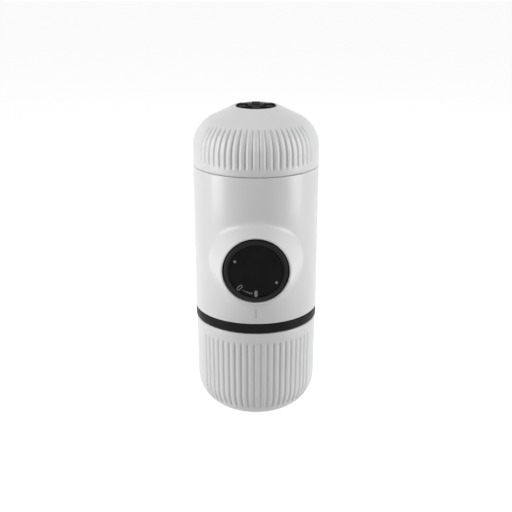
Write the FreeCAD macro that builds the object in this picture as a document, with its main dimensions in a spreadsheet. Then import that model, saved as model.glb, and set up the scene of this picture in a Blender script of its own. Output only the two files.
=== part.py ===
import FreeCAD, Part
import math
import os
import re

import Sketcher
from FreeCAD import Placement, Rotation, Vector

# Handheld manual espresso maker, stored closed and standing on its cup.
# Millimetres. The origin is the centre of the cup's foot, +Z is up and the pump knob faces -Y.
# Every driving size stands once in the sheet below; each piece's sizes are bound to it.

SIZES = {
    # Outer form
    "body_radius": 31.0,
    "joint_gap": 0.3,
    "seat_gap": 0.1,
    "sleeve_height": 73.3,
    "sleeve_wall": 2.0,
    "ring_height": 4.8,
    "ring_radius": 30.4,
    "edge_bevel": 0.4,
    # Water tank
    "tank_height": 28.7,
    "tank_wall_rise": 8.7,
    "tank_shoulder": 16.1,
    "tank_slope": 26.0,
    "tank_shell_wall": 2.0,
    "liner_wall": 1.6,
    "liner_gap": 0.2,
    "neck_radius": 26.4,
    "foot_radius": 9.8,
    "foot_depth": 3.2,
    "foot_gap": 0.3,
    "foot_lug_width": 3.9,
    "foot_lug_height": 1.2,
    "foot_lug_inner": 5.2,
    "foot_lug_count": 6,
    # Flutes of the tank and the cup
    "flute_pitch": 6.0,
    "flute_count": 20,
    "flute_width": 1.75,
    "flute_depth": 0.55,
    "flute_runout": 1.8,
    "flute_exit": 6.0,
    "flute_lift": 60.0,
    "tank_flute_band": 3.1,
    "tank_flute_sweep": 44.0,
    "cup_flute_band": 5.3,
    "cup_flute_sweep": 33.0,
    # Drinking cup
    "cup_height": 48.3,
    "cup_rim_radius": 30.4,
    "cup_wall_radius": 29.9,
    "cup_wall": 2.2,
    "cup_floor": 2.4,
    "cup_shoulder": 15.0,
    "cup_slope": 22.0,
    "cup_foot_radius": 12.5,
    "cup_fit": 0.15,
    # Measuring scoop in the cup
    "scoop_radius": 20.4,
    "scoop_base_radius": 11.0,
    "scoop_cone_height": 5.5,
    "scoop_height": 13.0,
    "scoop_wall": 1.3,
    "scoop_lip": 0.8,
    # Portafilter, basket and nozzle
    "collar_radius": 26.9,
    "collar_wall": 2.2,
    "collar_height": 7.6,
    "thread_room": 0.6,
    "thread_run": 0.8,
    "bowl_wall": 2.0,
    "bowl_sump": 1.6,
    "funnel_drop": 2.4,
    "spigot_height": 4.6,
    "spigot_wall": 1.7,
    "core_roof": 2.4,
    "boss_radius": 5.0,
    "boss_length": 4.2,
    "outlet_radius": 2.2,
    "basket_radius": 20.6,
    "basket_fit": 0.3,
    "basket_rim_radius": 24.3,
    "basket_wall": 0.8,
    "basket_depth": 18.5,
    "rim_thickness": 1.6,
    "basket_hole_radius": 0.8,
    "ring_groove": 1.1,
    "ring_section": 1.5,
    "ring_proud": 0.05,
    "nozzle_radius": 7.0,
    "nozzle_fit": 0.1,
    "nozzle_grip": 3.0,
    "nozzle_chamber": 2.6,
    "nozzle_floor": 1.5,
    "nozzle_hole_radius": 1.6,
    # Brew head
    "group_height": 10.5,
    "head_boss_radius": 23.7,
    "gasket_height": 2.2,
    "gasket_gap": 0.3,
    "recess_depth": 1.6,
    "screen_radius": 18.6,
    "screen_thickness": 0.8,
    "screen_drop": 0.6,
    "screen_hole_radius": 0.8,
    "pad_radius": 4.0,
    "screw_radius": 1.45,
    "screw_fit": 0.05,
    "screw_head_radius": 3.0,
    "screw_head_height": 1.3,
    "screw_length": 5.6,
    # Pump housing and its fasteners
    "housing_height": 40.2,
    "press_gap": 0.1,
    "plate_thickness": 2.0,
    "well_wall": 1.5,
    "well_floor": 6.0,
    "barrel_wall": 2.4,
    "post_circle": 25.6,
    "post_radius": 2.9,
    "front_post_angle": 20.0,
    "rear_post_angle": 45.0,
    "post_screw_radius": 1.0,
    "post_head_radius": 1.8,
    "post_head_height": 1.5,
    "post_screw_length": 8.0,
    "collar_screw_circle": 20.5,
    "collar_boss_radius": 2.8,
    "collar_boss_length": 7.0,
    # Tank collar
    "collar_floor": 2.6,
    "collar_top_gap": 0.2,
    "collar_bore": 27.6,
    "seal_height": 2.0,
    "seal_inner_radius": 23.6,
    "seal_side_gap": 0.4,
    "inlet_radius": 2.0,
    "strainer_radius": 5.8,
    "strainer_thickness": 1.2,
    "strainer_seat": 0.8,
    "strainer_hole_radius": 0.7,
    "air_valve_offset": 13.0,
    "air_stem_radius": 1.5,
    "air_cap_radius": 3.4,
    "air_cap_height": 1.1,
    # Pump knob
    "knob_rise": 30.5,
    "knob_radius": 15.5,
    "knob_gap": 0.4,
    "knob_proud": 9.0,
    "knob_wall": 1.6,
    "knob_bevel": 1.2,
    "knob_face_radius": 13.1,
    "knob_face_depth": 1.3,
    "knob_face_sunk": 0.3,
    "knob_front_wall": 2.3,
    "knob_end_room": 1.0,
    "hub_radius": 8.6,
    "hub_length": 5.4,
    "guide_gap": 0.3,
    "guide_wall": 2.0,
    "lug_width": 3.2,
    "lug_height": 2.6,
    "lug_reach": 1.4,
    "slot_gap": 0.4,
    "lock_angle": 45.0,
    "lock_margin": 8.0,
    # Plunger and cylinder
    "pump_stroke": 18.0,
    "plunger_radius": 4.0,
    "running_gap": 0.05,
    "flange_radius": 6.5,
    "flange_thickness": 1.7,
    "clip_radius": 6.0,
    "clip_thickness": 0.8,
    "clip_groove": 0.6,
    "bore_radius": 5.0,
    "cylinder_wall": 3.5,
    "cylinder_gap": 0.05,
    "seal_length": 3.0,
    "seal_groove": 1.0,
    "tip_length": 0.8,
    "gland_length": 3.2,
    "gland_wall": 1.4,
    "gland_seal_length": 1.6,
    "spring_radius": 11.0,
    "spring_wire": 1.3,
    # Valve block behind the cylinder
    "block_offset": 16.6,
    "block_radius": 7.6,
    "block_flat": 6.6,
    "cross_bore": 2.2,
    "chamber_radius": 4.2,
    "throat_radius": 2.0,
    "throat_length": 8.0,
    "inlet_chamber": 8.0,
    "outlet_chamber": 6.0,
    "valve_radius": 3.3,
    "valve_thickness": 1.2,
    "valve_stem_radius": 0.9,
    "valve_stem_length": 3.4,
    "valve_seat_gap": 0.1,
    "valve_lift": 1.0,
    "valve_spring_radius": 1.6,
    "valve_spring_wire": 0.5,
    "port_seal_height": 1.2,
    "port_seal_radius": 3.8,
    "port_seal_inner": 2.4,
}

doc = FreeCAD.newDocument("EspressoMaker")
sheet = doc.addObject("Spreadsheet::Sheet", "size")
for row, (alias, value) in enumerate(SIZES.items(), start=1):
    sheet.set("A%d" % row, alias)
    sheet.set("B%d" % row, str(value))
    sheet.setAlias("B%d" % row, alias)
doc.recompute()

# Heights above the floor and lengths that several pieces share
RING_BASE = "(cup_height + joint_gap)"
BODY_BASE = "(cup_height + 2 * joint_gap + ring_height)"
TANK_BASE = "(cup_height + 3 * joint_gap + ring_height + sleeve_height)"
HOUSING_BASE = "(cup_height + 2 * joint_gap + ring_height + group_height)"
COLLAR_BASE = "(cup_height + 2 * joint_gap + ring_height + group_height + housing_height)"
KNOB_LEVEL = "(cup_height + 2 * joint_gap + ring_height + knob_rise)"
CORE_RADIUS = "(body_radius - sleeve_wall - press_gap)"
NECK_DEPTH = (
    "(sleeve_height + joint_gap - group_height - housing_height"
    " - collar_floor - seal_height - seat_gap)"
)
BASKET_REST = "(cup_height + joint_gap + ring_height + seat_gap)"
HEAD_BOSS_BASE = "(2 * seat_gap + rim_thickness + gasket_height - joint_gap)"
SOCKET_ROOF = "(collar_height + thread_run - joint_gap)"
BOWL_RADIUS = "(basket_radius + basket_fit)"
FACE_OUT = "(body_radius + knob_proud)"
SKIRT_END = "(well_floor + knob_end_room)"
HUB_FRONT = "(body_radius + knob_proud - knob_face_depth)"
FRONT_WALL_BACK = "(body_radius + knob_proud - knob_face_depth - knob_front_wall)"
HUB_BACK = "(body_radius + knob_proud - knob_face_depth - knob_front_wall - hub_length)"
BLOCK_FACE = "(block_flat - block_offset)"
PLUNGER_TIP = "(block_flat - block_offset + joint_gap + valve_lift)"
SEAL_BACK = "(block_flat - block_offset + joint_gap + valve_lift + tip_length)"
GLAND_BACK = (
    "(block_flat - block_offset + joint_gap + valve_lift + tip_length"
    " + seal_length + pump_stroke + joint_gap)"
)
CYLINDER_RADIUS = "(bore_radius + cylinder_wall)"
GUIDE_RADIUS = "(knob_radius + guide_gap + guide_wall)"
LUG_RADIUS = "(knob_radius + lug_reach)"
HALF_BLOCK = "(housing_height / 2 - seat_gap)"


def bound(text):
    """The sheet's expression for a text in which every size stands as its alias."""
    return re.sub(r"[a-z]+(?:_[a-z]+)+", r"size.\g<0>", text)


def number(text):
    """The present value of such a text."""
    return float(sheet.evalExpression(bound(text)))


def place(piece, x="0", y="0", z="0", outward=False):
    """Put a piece at x, y, z; outward turns its own +Z to the front, towards -Y."""
    if outward:
        piece.Placement = Placement(Vector(), Rotation(Vector(1, 0, 0), 90))
    for axis, text in zip("xyz", (x, y, z)):
        piece.setExpression(".Placement.Base." + axis, bound(text))
    return piece


def new_body(label):
    piece = doc.addObject("PartDesign::Body", label)
    piece.Label = label
    return piece


def new_sketch(piece, plane, lift="0"):
    """A sketch on one of the body's own origin planes, raised by lift along its normal."""
    sketch = piece.newObject("Sketcher::SketchObject", "sketch")
    support = [f for f in piece.Origin.OriginFeatures if f.Role == plane][0]
    sketch.AttachmentSupport = [(support, "")]
    sketch.MapMode = "FlatFace"
    if lift != "0":
        sketch.setExpression(".AttachmentOffset.Base.z", bound(lift))
    return sketch


def fix(sketch, kind, *where, text):
    """Add one dimension and bind it to the sheet."""
    index = sketch.addConstraint(Sketcher.Constraint(kind, *where, number(text)))
    sketch.setExpression("Constraints[%d]" % index, bound(text))


def arc_between(start, end, radius):
    """The short arc from start to end; a positive radius turns to the left of the way."""
    chord = end - start
    half = chord.Length / 2
    side = Vector(-chord.y, chord.x, 0).normalize()
    reach = math.sqrt(max(radius * radius - half * half, 0.0))
    centre = start + chord / 2 + side * math.copysign(reach, radius)
    first, last = (start, end) if radius > 0 else (end, start)
    from_angle = math.atan2(first.y - centre.y, first.x - centre.x)
    to_angle = math.atan2(last.y - centre.y, last.x - centre.x)
    circle = Part.Circle(centre, Vector(0, 0, 1), abs(radius))
    return Part.ArcOfCircle(circle, from_angle, to_angle)


def draw(sketch, outline):
    """Draw a closed outline of (x, y) corners; a third text is the radius of the arc that leaves there."""
    corners = [Vector(number(p[0]), number(p[1]), 0) for p in outline]
    count = len(corners)
    ends = []
    for i in range(count):
        start, end = corners[i], corners[(i + 1) % count]
        if len(outline[i]) == 2:
            sketch.addGeometry(Part.LineSegment(start, end))
            ends.append((1, 2))
        else:
            radius = number(outline[i][2])
            sketch.addGeometry(arc_between(start, end, radius))
            ends.append((1, 2) if radius > 0 else (2, 1))
    for i in range(count):
        after = (i + 1) % count
        sketch.addConstraint(Sketcher.Constraint("Coincident", i, ends[i][1], after, ends[after][0]))
    for i in range(count):
        fix(sketch, "DistanceX", -1, 1, i, ends[i][0], text=outline[i][0])
        fix(sketch, "DistanceY", -1, 1, i, ends[i][0], text=outline[i][1])
        if len(outline[i]) == 3:
            fix(sketch, "Radius", i, text="abs(" + outline[i][2] + ")")
    return sketch


def revolve(piece, outline):
    """Turn an outline of (radius, height) corners about the piece's own Z axis."""
    sketch = draw(new_sketch(piece, "XZ_Plane"), outline)
    feature = piece.newObject("PartDesign::Revolution", "turned")
    feature.Profile = sketch
    feature.ReferenceAxis = (sketch, ["V_Axis"])
    feature.Angle = 360.0
    return feature


def turned(label, outline, **where):
    """A piece that is one turned profile."""
    piece = new_body(label)
    revolve(piece, outline)
    return place(piece, **where)


def drill(piece, holes, depth=None, lift="0", plane="XY_Plane", back=False):
    """Cut round holes of (x, y, radius) down from lift, or right through where no depth is given."""
    sketch = new_sketch(piece, plane, lift)
    for i, (x, y, radius) in enumerate(holes):
        centre = Vector(number(x), number(y), 0)
        sketch.addGeometry(Part.Circle(centre, Vector(0, 0, 1), number(radius)))
        fix(sketch, "DistanceX", -1, 1, i, 3, text=x)
        fix(sketch, "DistanceY", -1, 1, i, 3, text=y)
        fix(sketch, "Radius", i, text=radius)
    feature = piece.newObject("PartDesign::Pocket", "holes")
    feature.Profile = sketch
    feature.Reversed = back
    if depth is None:
        feature.Type = "ThroughAll"
    else:
        feature.setExpression("Length", bound(depth))
    return feature


def around(piece, feature, count, axis_of):
    """Repeat a feature about the piece's Z axis."""
    pattern = piece.newObject("PartDesign::PolarPattern", "around")
    pattern.Originals = [feature]
    pattern.Axis = (axis_of, ["N_Axis"])
    pattern.Angle = 360.0
    pattern.setExpression("Occurrences", bound(count))
    piece.Tip = pattern
    return pattern


def on_circle(radius, angle):
    """The x and y texts of a point at an angle in degrees on a circle."""
    return "(%s) * cos(%s)" % (radius, angle), "(%s) * sin(%s)" % (radius, angle)


def cylinder(radius, height, x="0", y="0", z="0", outward=False, angle=None):
    solid = doc.addObject("Part::Cylinder", "rod")
    solid.setExpression("Radius", bound(radius))
    solid.setExpression("Height", bound(height))
    if angle is not None:
        solid.setExpression("Angle", bound(angle))
    return place(solid, x, y, z, outward)


def box(length, width, height, x="0", y="0", z="0"):
    solid = doc.addObject("Part::Box", "block")
    solid.setExpression("Length", bound(length))
    solid.setExpression("Width", bound(width))
    solid.setExpression("Height", bound(height))
    return place(solid, x, y, z)


def joined(pieces, label="joined"):
    solid = doc.addObject("Part::MultiFuse", label)
    solid.Label = label
    solid.Shapes = pieces
    solid.Refine = True
    return solid


def cut(base, tools, label="cut"):
    solid = doc.addObject("Part::Cut", label)
    solid.Label = label
    solid.Base = base
    solid.Tool = tools[0] if len(tools) == 1 else joined(tools)
    solid.Refine = True
    return solid


def common(first, second, label="common"):
    solid = doc.addObject("Part::Common", label)
    solid.Label = label
    solid.Base = first
    solid.Tool = second
    return solid


# Outer shells

def flute_cutter(start, bend, arc_centre, sweep):
    """One V-shaped groove in the XZ plane: a rounded run-in at start, straight to bend, then round
    arc_centre by sweep degrees and out along the tangent."""
    depth = number("flute_depth")
    half = number("flute_width")
    along = (bend - start).normalize()
    out = Vector(abs(along.z), 0, -along.x * math.copysign(1, along.z))
    side = Vector(0, half, 0)
    section = Part.Face(Part.makePolygon([
        start, start + out * 2 * depth + side, start + out * 2 * depth - side, start]))
    y_axis = Vector(0, 1, 0)
    turn = math.copysign(1, along.z)
    run_in = section.revolve(start + out * number("flute_runout"), y_axis, turn * number("flute_lift"))
    straight = section.extrude(bend - start)
    moved = section.translated(bend - start)
    bent = moved.revolve(arc_centre, y_axis, -turn * sweep)
    last = moved.copy()
    last.rotate(arc_centre, y_axis, -turn * sweep)
    way = Rotation(y_axis, -turn * sweep).multVec(along)
    leave = last.extrude(way * number("flute_exit"))
    return run_in.multiFuse([straight, bent, leave])


def fluted(label, blank, cutter, height):
    """The blank with its rows of flutes, one row centred on the front and one on the back."""
    pitch = number("flute_pitch")
    count = int(number("flute_count"))
    row = [-90 + pitch * (i - (count - 1) / 2) for i in range(count)]
    grooves = doc.addObject("Part::Feature", "grooves")
    z_axis = Vector(0, 0, 1)
    copies = []
    for angle in row + [a + 180 for a in row]:
        copy = cutter.copy()
        copy.rotate(Vector(), z_axis, angle)
        copies.append(copy)
    grooves.Shape = Part.makeCompound(copies)
    shell = cut(blank, [grooves], label)
    shell.Refine = False
    return place(shell, z=height)


def make_tank_shell():
    """The fluted dome of the tank, open below and round the foot."""
    end_x = "(body_radius - tank_shoulder + tank_shoulder * sin(tank_slope))"
    end_z = "(tank_wall_rise + tank_shoulder * cos(tank_slope))"
    hole = "(foot_radius + foot_gap)"
    rim_z = "(tank_height - edge_bevel)"
    rim_x = end_x + " - (" + rim_z + " - " + end_z + ") / tan(tank_slope)"
    inner = "(tank_shoulder - tank_shell_wall)"
    inner_z = "(" + end_z + " - tank_shell_wall / cos(tank_slope))"
    centre = "body_radius - tank_shoulder"
    blank = new_body("dome")
    revolve(blank, [
        ("body_radius - tank_shell_wall", "0"),
        ("body_radius - edge_bevel", "0"),
        ("body_radius", "edge_bevel"),
        ("body_radius", "tank_wall_rise", "tank_shoulder"),
        (end_x, end_z),
        (rim_x, rim_z),
        (hole, rim_z),
        (hole, inner_z + " + (" + end_x + " - " + hole + ") * tan(tank_slope)"),
        (end_x, inner_z),
        (centre + " + " + inner + " * cos(45 - tank_slope / 2)",
         "tank_wall_rise + " + inner + " * sin(45 - tank_slope / 2)"),
        ("body_radius - tank_shell_wall", "tank_wall_rise"),
    ])
    wall = number("body_radius - flute_depth")
    bend = number("tank_wall_rise")
    start = number("tank_flute_band + flute_runout")
    cutter = flute_cutter(Vector(wall, 0, start), Vector(wall, 0, bend),
                          Vector(number(centre), 0, bend), number("tank_flute_sweep"))
    return fluted("tank_shell", blank, cutter, TANK_BASE)


def cup_shoulder_point():
    """Where the cup's slanted underside leaves its shoulder arc, and the height of the arc's centre."""
    end_x = "(cup_wall_radius - cup_shoulder + cup_shoulder * sin(cup_slope))"
    end_z = "((" + end_x + " - cup_foot_radius) * tan(cup_slope))"
    centre_z = "(" + end_z + " + cup_shoulder * cos(cup_slope))"
    return end_x, end_z, centre_z


def make_drinking_cup():
    """The fluted cup with its flat foot; the portafilter's spigot fits its mouth."""
    end_x, end_z, centre_z = cup_shoulder_point()
    inner = "(cup_shoulder - cup_wall)"
    centre = "cup_wall_radius - cup_shoulder"
    blank = new_body("bowl")
    revolve(blank, [
        ("0", "0"),
        ("cup_foot_radius", "0"),
        (end_x, end_z, "cup_shoulder"),
        ("cup_wall_radius", centre_z),
        ("cup_rim_radius", "cup_height - edge_bevel"),
        ("cup_rim_radius - edge_bevel", "cup_height"),
        ("cup_rim_radius - cup_wall", "cup_height"),
        ("cup_wall_radius - cup_wall", centre_z),
        (centre + " + " + inner + " * cos(45 - cup_slope / 2)",
         centre_z + " - " + inner + " * sin(45 - cup_slope / 2)"),
        ("cup_foot_radius", "cup_floor"),
        ("0", "cup_floor"),
    ])
    start = Vector(number("cup_rim_radius - flute_depth"), 0,
                   number("cup_height - cup_flute_band - flute_runout"))
    bend = Vector(number("cup_wall_radius - flute_depth"), 0, number(centre_z))
    cutter = flute_cutter(start, bend, Vector(number(centre), 0, bend.z), number("cup_flute_sweep"))
    return fluted("drinking_cup", blank, cutter, "0")


def make_body_sleeve():
    """The plain outer tube of the main body, with the round opening for the knob."""
    inside = "body_radius - sleeve_wall"
    piece = new_body("body_sleeve")
    revolve(piece, [
        (inside, "0"),
        ("body_radius - edge_bevel", "0"),
        ("body_radius", "edge_bevel"),
        ("body_radius", "sleeve_height - edge_bevel"),
        ("body_radius - edge_bevel", "sleeve_height"),
        (inside, "sleeve_height"),
    ])
    drill(piece, [("0", "knob_rise", "knob_radius + knob_gap")], "body_radius + knob_proud",
          plane="XZ_Plane", back=True)
    return place(piece, z=BODY_BASE)


# Water tank

def make_tank_liner():
    """The inner vessel of the tank, whose neck screws into the main body."""
    outer = "(body_radius - tank_shell_wall - liner_gap)"
    top = "(tank_height - foot_depth - foot_gap)"
    skin = "(tank_shell_wall + liner_gap)"
    arc = "(tank_shoulder - " + skin + ")"
    centre = "body_radius - tank_shoulder"
    slant_x = "(" + centre + " + tank_shoulder * sin(tank_slope))"
    slant_z = "(tank_wall_rise + tank_shoulder * cos(tank_slope) - " + skin + " / cos(tank_slope))"
    slant_top = slant_x + " - (" + top + " - " + slant_z + ") / tan(tank_slope)"
    mid_x = centre + " + " + arc + " * cos(45 - tank_slope / 2)"
    mid_z = "tank_wall_rise + " + arc + " * sin(45 - tank_slope / 2)"
    return turned("tank_liner", [
        ("neck_radius - liner_wall", "0"),
        ("neck_radius", "0"),
        ("neck_radius", NECK_DEPTH),
        (outer, NECK_DEPTH),
        (outer, NECK_DEPTH + " + tank_wall_rise"),
        (mid_x, NECK_DEPTH + " + " + mid_z),
        (slant_x, NECK_DEPTH + " + " + slant_z),
        (slant_top, NECK_DEPTH + " + " + top),
        ("0", NECK_DEPTH + " + " + top),
        ("0", NECK_DEPTH + " + " + top + " - liner_wall"),
        (slant_top + " - liner_wall / 2", NECK_DEPTH + " + " + top + " - liner_wall"),
        (mid_x + " - liner_wall", NECK_DEPTH + " + " + mid_z + " - liner_wall / 2"),
        (outer + " - liner_wall", NECK_DEPTH + " + tank_wall_rise"),
        (outer + " - liner_wall", NECK_DEPTH + " + liner_wall"),
        ("neck_radius - liner_wall", NECK_DEPTH + " + liner_wall"),
    ], z=TANK_BASE + " - " + NECK_DEPTH)


def make_tank_foot():
    """The rubber foot in the top of the tank, with a crown of radial lugs."""
    piece = new_body("tank_foot")
    step = "foot_depth - foot_lug_height"
    revolve(piece, [
        ("0", "0"),
        ("foot_radius", "0"),
        ("foot_radius", step),
        ("foot_lug_inner - foot_lug_height", step),
        ("foot_lug_inner - foot_lug_height", "foot_depth"),
        ("0", "foot_depth"),
    ])
    sketch = new_sketch(piece, "XY_Plane", step)
    reach = "0 - sqrt(foot_radius ^ 2 - foot_lug_width ^ 2 / 4)"
    draw(sketch, [
        ("foot_lug_width / 2", reach),
        ("foot_lug_width / 2", "0 - foot_lug_inner"),
        ("0 - foot_lug_width / 2", "0 - foot_lug_inner"),
        ("0 - foot_lug_width / 2", reach),
    ])
    lug = piece.newObject("PartDesign::Pad", "lug")
    lug.Profile = sketch
    lug.setExpression("Length", bound("foot_lug_height"))
    around(piece, lug, "foot_lug_count", sketch)
    return place(piece, z=TANK_BASE + " + tank_height - foot_depth")


def make_tank_seal():
    """The flat gasket under the rim of the tank's neck."""
    outer = "collar_bore - seal_side_gap"
    return turned("tank_seal", [
        ("seal_inner_radius", "0"),
        (outer, "0"),
        (outer, "seal_height"),
        ("seal_inner_radius", "seal_height"),
    ], z=COLLAR_BASE + " + collar_floor")


# Brew head

def post_angles(front="front_post_angle", rear="rear_post_angle"):
    return ["0 - " + front, rear, "180 - " + rear, "180 + " + front]


def make_group_head():
    """The lower moulding of the main body: the socket of the portafilter and the head boss."""
    piece = new_body("group_head")
    socket = "collar_radius + thread_room"
    recess = "(screen_radius + gasket_gap / 2)"
    recess_roof = HEAD_BOSS_BASE + " + recess_depth"
    revolve(piece, [
        (socket, "0"),
        (CORE_RADIUS, "0"),
        (CORE_RADIUS, "group_height"),
        ("0", "group_height"),
        ("0", HEAD_BOSS_BASE + " - screen_drop"),
        ("pad_radius", HEAD_BOSS_BASE + " - screen_drop"),
        ("pad_radius", recess_roof),
        (recess, recess_roof),
        (recess, HEAD_BOSS_BASE),
        ("head_boss_radius", HEAD_BOSS_BASE),
        ("head_boss_radius", SOCKET_ROOF),
        (socket, SOCKET_ROOF),
    ])
    drill(piece, [("0", "0", "screw_radius + screw_fit")],
          HEAD_BOSS_BASE + " - screen_drop + screw_length", back=True)
    drill(piece, [("0", "block_offset", "inlet_radius")], "group_height", lift="group_height")
    posts = [on_circle("post_circle", a) for a in post_angles()]
    drill(piece, [(x, y, "post_head_radius + screw_fit") for x, y in posts],
          SOCKET_ROOF + " + post_head_height", back=True)
    drill(piece, [(x, y, "post_screw_radius + screw_fit") for x, y in posts],
          "group_height", back=True)
    return place(piece, z=BODY_BASE)


def make_group_gasket():
    inner = "screen_radius + gasket_gap"
    return turned("group_gasket", [
        (inner, "0"),
        ("head_boss_radius", "0"),
        ("head_boss_radius", "gasket_height"),
        (inner, "gasket_height"),
    ], z=BODY_BASE + " + " + HEAD_BOSS_BASE + " - gasket_height")


def ring_of_holes(radius, reach, count, start=0):
    """Texts of evenly spaced holes on one circle."""
    return [on_circle(reach, "%g" % (start + 360 * i / count)) + (radius,) for i in range(count)]


def make_shower_screen():
    """The pierced steel disc that spreads the water over the coffee."""
    screen = new_body("shower_screen")
    revolve(screen, [
        ("screw_radius + screw_fit", "0"),
        ("screen_radius", "0"),
        ("screen_radius", "screen_thickness"),
        ("screw_radius + screw_fit", "screen_thickness"),
    ])
    drill(screen, ring_of_holes("screen_hole_radius", "screen_radius * 0.45", 6)
          + ring_of_holes("screen_hole_radius", "screen_radius * 0.8", 9),
          "screen_thickness", lift="screen_thickness")
    return place(screen, z=BODY_BASE + " + " + HEAD_BOSS_BASE + " - screen_drop - screen_thickness")


def make_shower_screw():
    """The screw that holds the screen, its head towards the coffee."""
    return turned("shower_screw", [
        ("0", "0"),
        ("screw_head_radius - edge_bevel", "0"),
        ("screw_head_radius", "edge_bevel"),
        ("screw_head_radius", "screw_head_height"),
        ("screw_radius", "screw_head_height"),
        ("screw_radius", "screw_head_height + screw_length"),
        ("0", "screw_head_height + screw_length"),
    ], z=BODY_BASE + " + " + HEAD_BOSS_BASE + " - screen_drop - screen_thickness - screw_head_height")


def screws(label, circle, angles, radius, head_radius, head_height, length, z, head_up):
    """A set of like screws, each a separate solid; z is where the heads meet their seat."""
    shafts = []
    for angle in angles:
        x, y = on_circle(circle, angle)
        down = "(%s) - (%s)" % (z, length)
        under = "(%s) - (%s)" % (z, head_height)
        shaft = cylinder(radius, length, x, y, down if head_up else z)
        head = cylinder(head_radius, head_height, x, y, z if head_up else under)
        shafts.append(joined([shaft, head]))
    group = doc.addObject("Part::Compound", label)
    group.Label = label
    group.Links = shafts
    return group


def make_group_screws():
    """Four screws that hold the brew head to the posts of the pump housing."""
    return screws("group_screws", "post_circle", post_angles(), "post_screw_radius",
                  "post_head_radius", "post_head_height - press_gap", "post_screw_length",
                  BODY_BASE + " + " + SOCKET_ROOF + " + post_head_height", False)


# Pump housing

def make_pump_housing():
    """The core of the main body: two plates, the knob's well, the cylinder barrel and the posts."""
    base = HOUSING_BASE
    top = HOUSING_BASE + " + housing_height - plate_thickness"
    level = KNOB_LEVEL
    well = GUIDE_RADIUS + " + press_gap + well_wall"
    barrel = CYLINDER_RADIUS + " + press_gap + barrel_wall"
    barrel_back = "(block_flat - block_offset)"
    solids = [
        cylinder(CORE_RADIUS, "plate_thickness", z=base),
        cylinder(CORE_RADIUS, "plate_thickness", z=top),
        cylinder(well, "body_radius - well_floor + plate_thickness",
                 y="0 - well_floor + plate_thickness", z=level, outward=True),
        cylinder(barrel, "well_floor - " + barrel_back,
                 y="0 - " + barrel_back, z=level, outward=True),
    ]
    tools = [
        cylinder(GUIDE_RADIUS + " + press_gap", "body_radius", y="0 - well_floor",
                 z=level, outward=True),
        cylinder(CYLINDER_RADIUS + " + press_gap", "body_radius * 2", y="block_offset",
                 z=level, outward=True),
        cylinder("block_radius + press_gap", "housing_height", y="block_offset", z=base),
    ]
    for angle in post_angles():
        x, y = on_circle("post_circle", angle)
        solids.append(cylinder("post_radius", "housing_height", x, y, base))
        tools.append(cylinder("post_screw_radius + screw_fit", "post_screw_length", x, y, base))
        x, y = on_circle("collar_screw_circle", angle)
        boss_base = HOUSING_BASE + " + housing_height - collar_boss_length"
        solids.append(cylinder("collar_boss_radius", "collar_boss_length", x, y, boss_base))
        tools.append(cylinder("post_screw_radius + screw_fit", "post_screw_length", x, y,
                              HOUSING_BASE + " + housing_height - post_screw_length + collar_floor"))
    envelope = cylinder(CORE_RADIUS, "housing_height", z=base)
    return cut(common(joined(solids), envelope), tools, "pump_housing")


def make_knob_guide():
    """The bayonet tube in the well: two long slots for the knob's lugs, each with a locking branch."""
    tube = cut(
        cylinder(GUIDE_RADIUS, "body_radius - well_floor", y="0 - well_floor", z=KNOB_LEVEL, outward=True),
        [cylinder("knob_radius + guide_gap", "body_radius", y="0 - well_floor", z=KNOB_LEVEL, outward=True)],
    )
    trimmed = common(tube, cylinder(CORE_RADIUS, "4 * knob_radius", z=KNOB_LEVEL + " - 2 * knob_radius"))
    width = "(lug_width + 2 * slot_gap)"
    height = "(lug_height + 2 * slot_gap)"
    reach = "(" + GUIDE_RADIUS + " + press_gap)"
    run = "(pump_stroke + lug_height + 2 * slot_gap)"
    y_back = "(0 - (" + SKIRT_END + "))"
    tools = [box(width, run, "2 * " + reach, "0 - " + width + " / 2", y_back + " - " + run,
                 KNOB_LEVEL + " - " + reach)]
    for start in (90, 270):
        wedge = cylinder(reach, height, y=y_back, z=KNOB_LEVEL, outward=True,
                         angle="lock_angle + lock_margin")
        turn = start - number("lock_angle + lock_margin")
        wedge.Placement = Placement(
            wedge.Placement.Base,
            Rotation(Vector(1, 0, 0), 90) * Rotation(Vector(0, 0, 1), turn))
        place_again(wedge, y=y_back, z=KNOB_LEVEL)
        tools.append(wedge)
    return cut(trimmed, tools, "knob_guide")


def place_again(piece, x="0", y="0", z="0"):
    """Bind only the position of a piece that already has its turn."""
    for axis, text in zip("xyz", (x, y, z)):
        piece.setExpression(".Placement.Base." + axis, bound(text))
    return piece


def make_pump_cylinder():
    """The pump's barrel, open at both ends, with a wider mouth for the gland."""
    back = BLOCK_FACE
    return turned("pump_cylinder", [
        ("bore_radius", "0"),
        (CYLINDER_RADIUS, "0"),
        (CYLINDER_RADIUS, "(" + GLAND_BACK + " - " + back + ") + gland_length"),
        ("bore_radius + gland_wall", "(" + GLAND_BACK + " - " + back + ") + gland_length"),
        ("bore_radius + gland_wall", "(" + GLAND_BACK + " - " + back + ")"),
        ("bore_radius", "(" + GLAND_BACK + " - " + back + ")"),
    ], y="0 - " + back, z=KNOB_LEVEL, outward=True)


def make_rod_gland():
    """The guide bush in the cylinder's mouth, with a groove for its wiper."""
    bore = "plunger_radius + running_gap"
    groove = bore + " + seal_groove"
    back = "(gland_length - gland_seal_length) / 2"
    return turned("rod_gland", [
        (bore, "0"),
        ("bore_radius + gland_wall - cylinder_gap", "0"),
        ("bore_radius + gland_wall - cylinder_gap", "gland_length"),
        (bore, "gland_length"),
        (bore, back + " + gland_seal_length"),
        (groove, back + " + gland_seal_length"),
        (groove, back),
        (bore, back),
    ], y="0 - " + GLAND_BACK, z=KNOB_LEVEL, outward=True)


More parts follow.
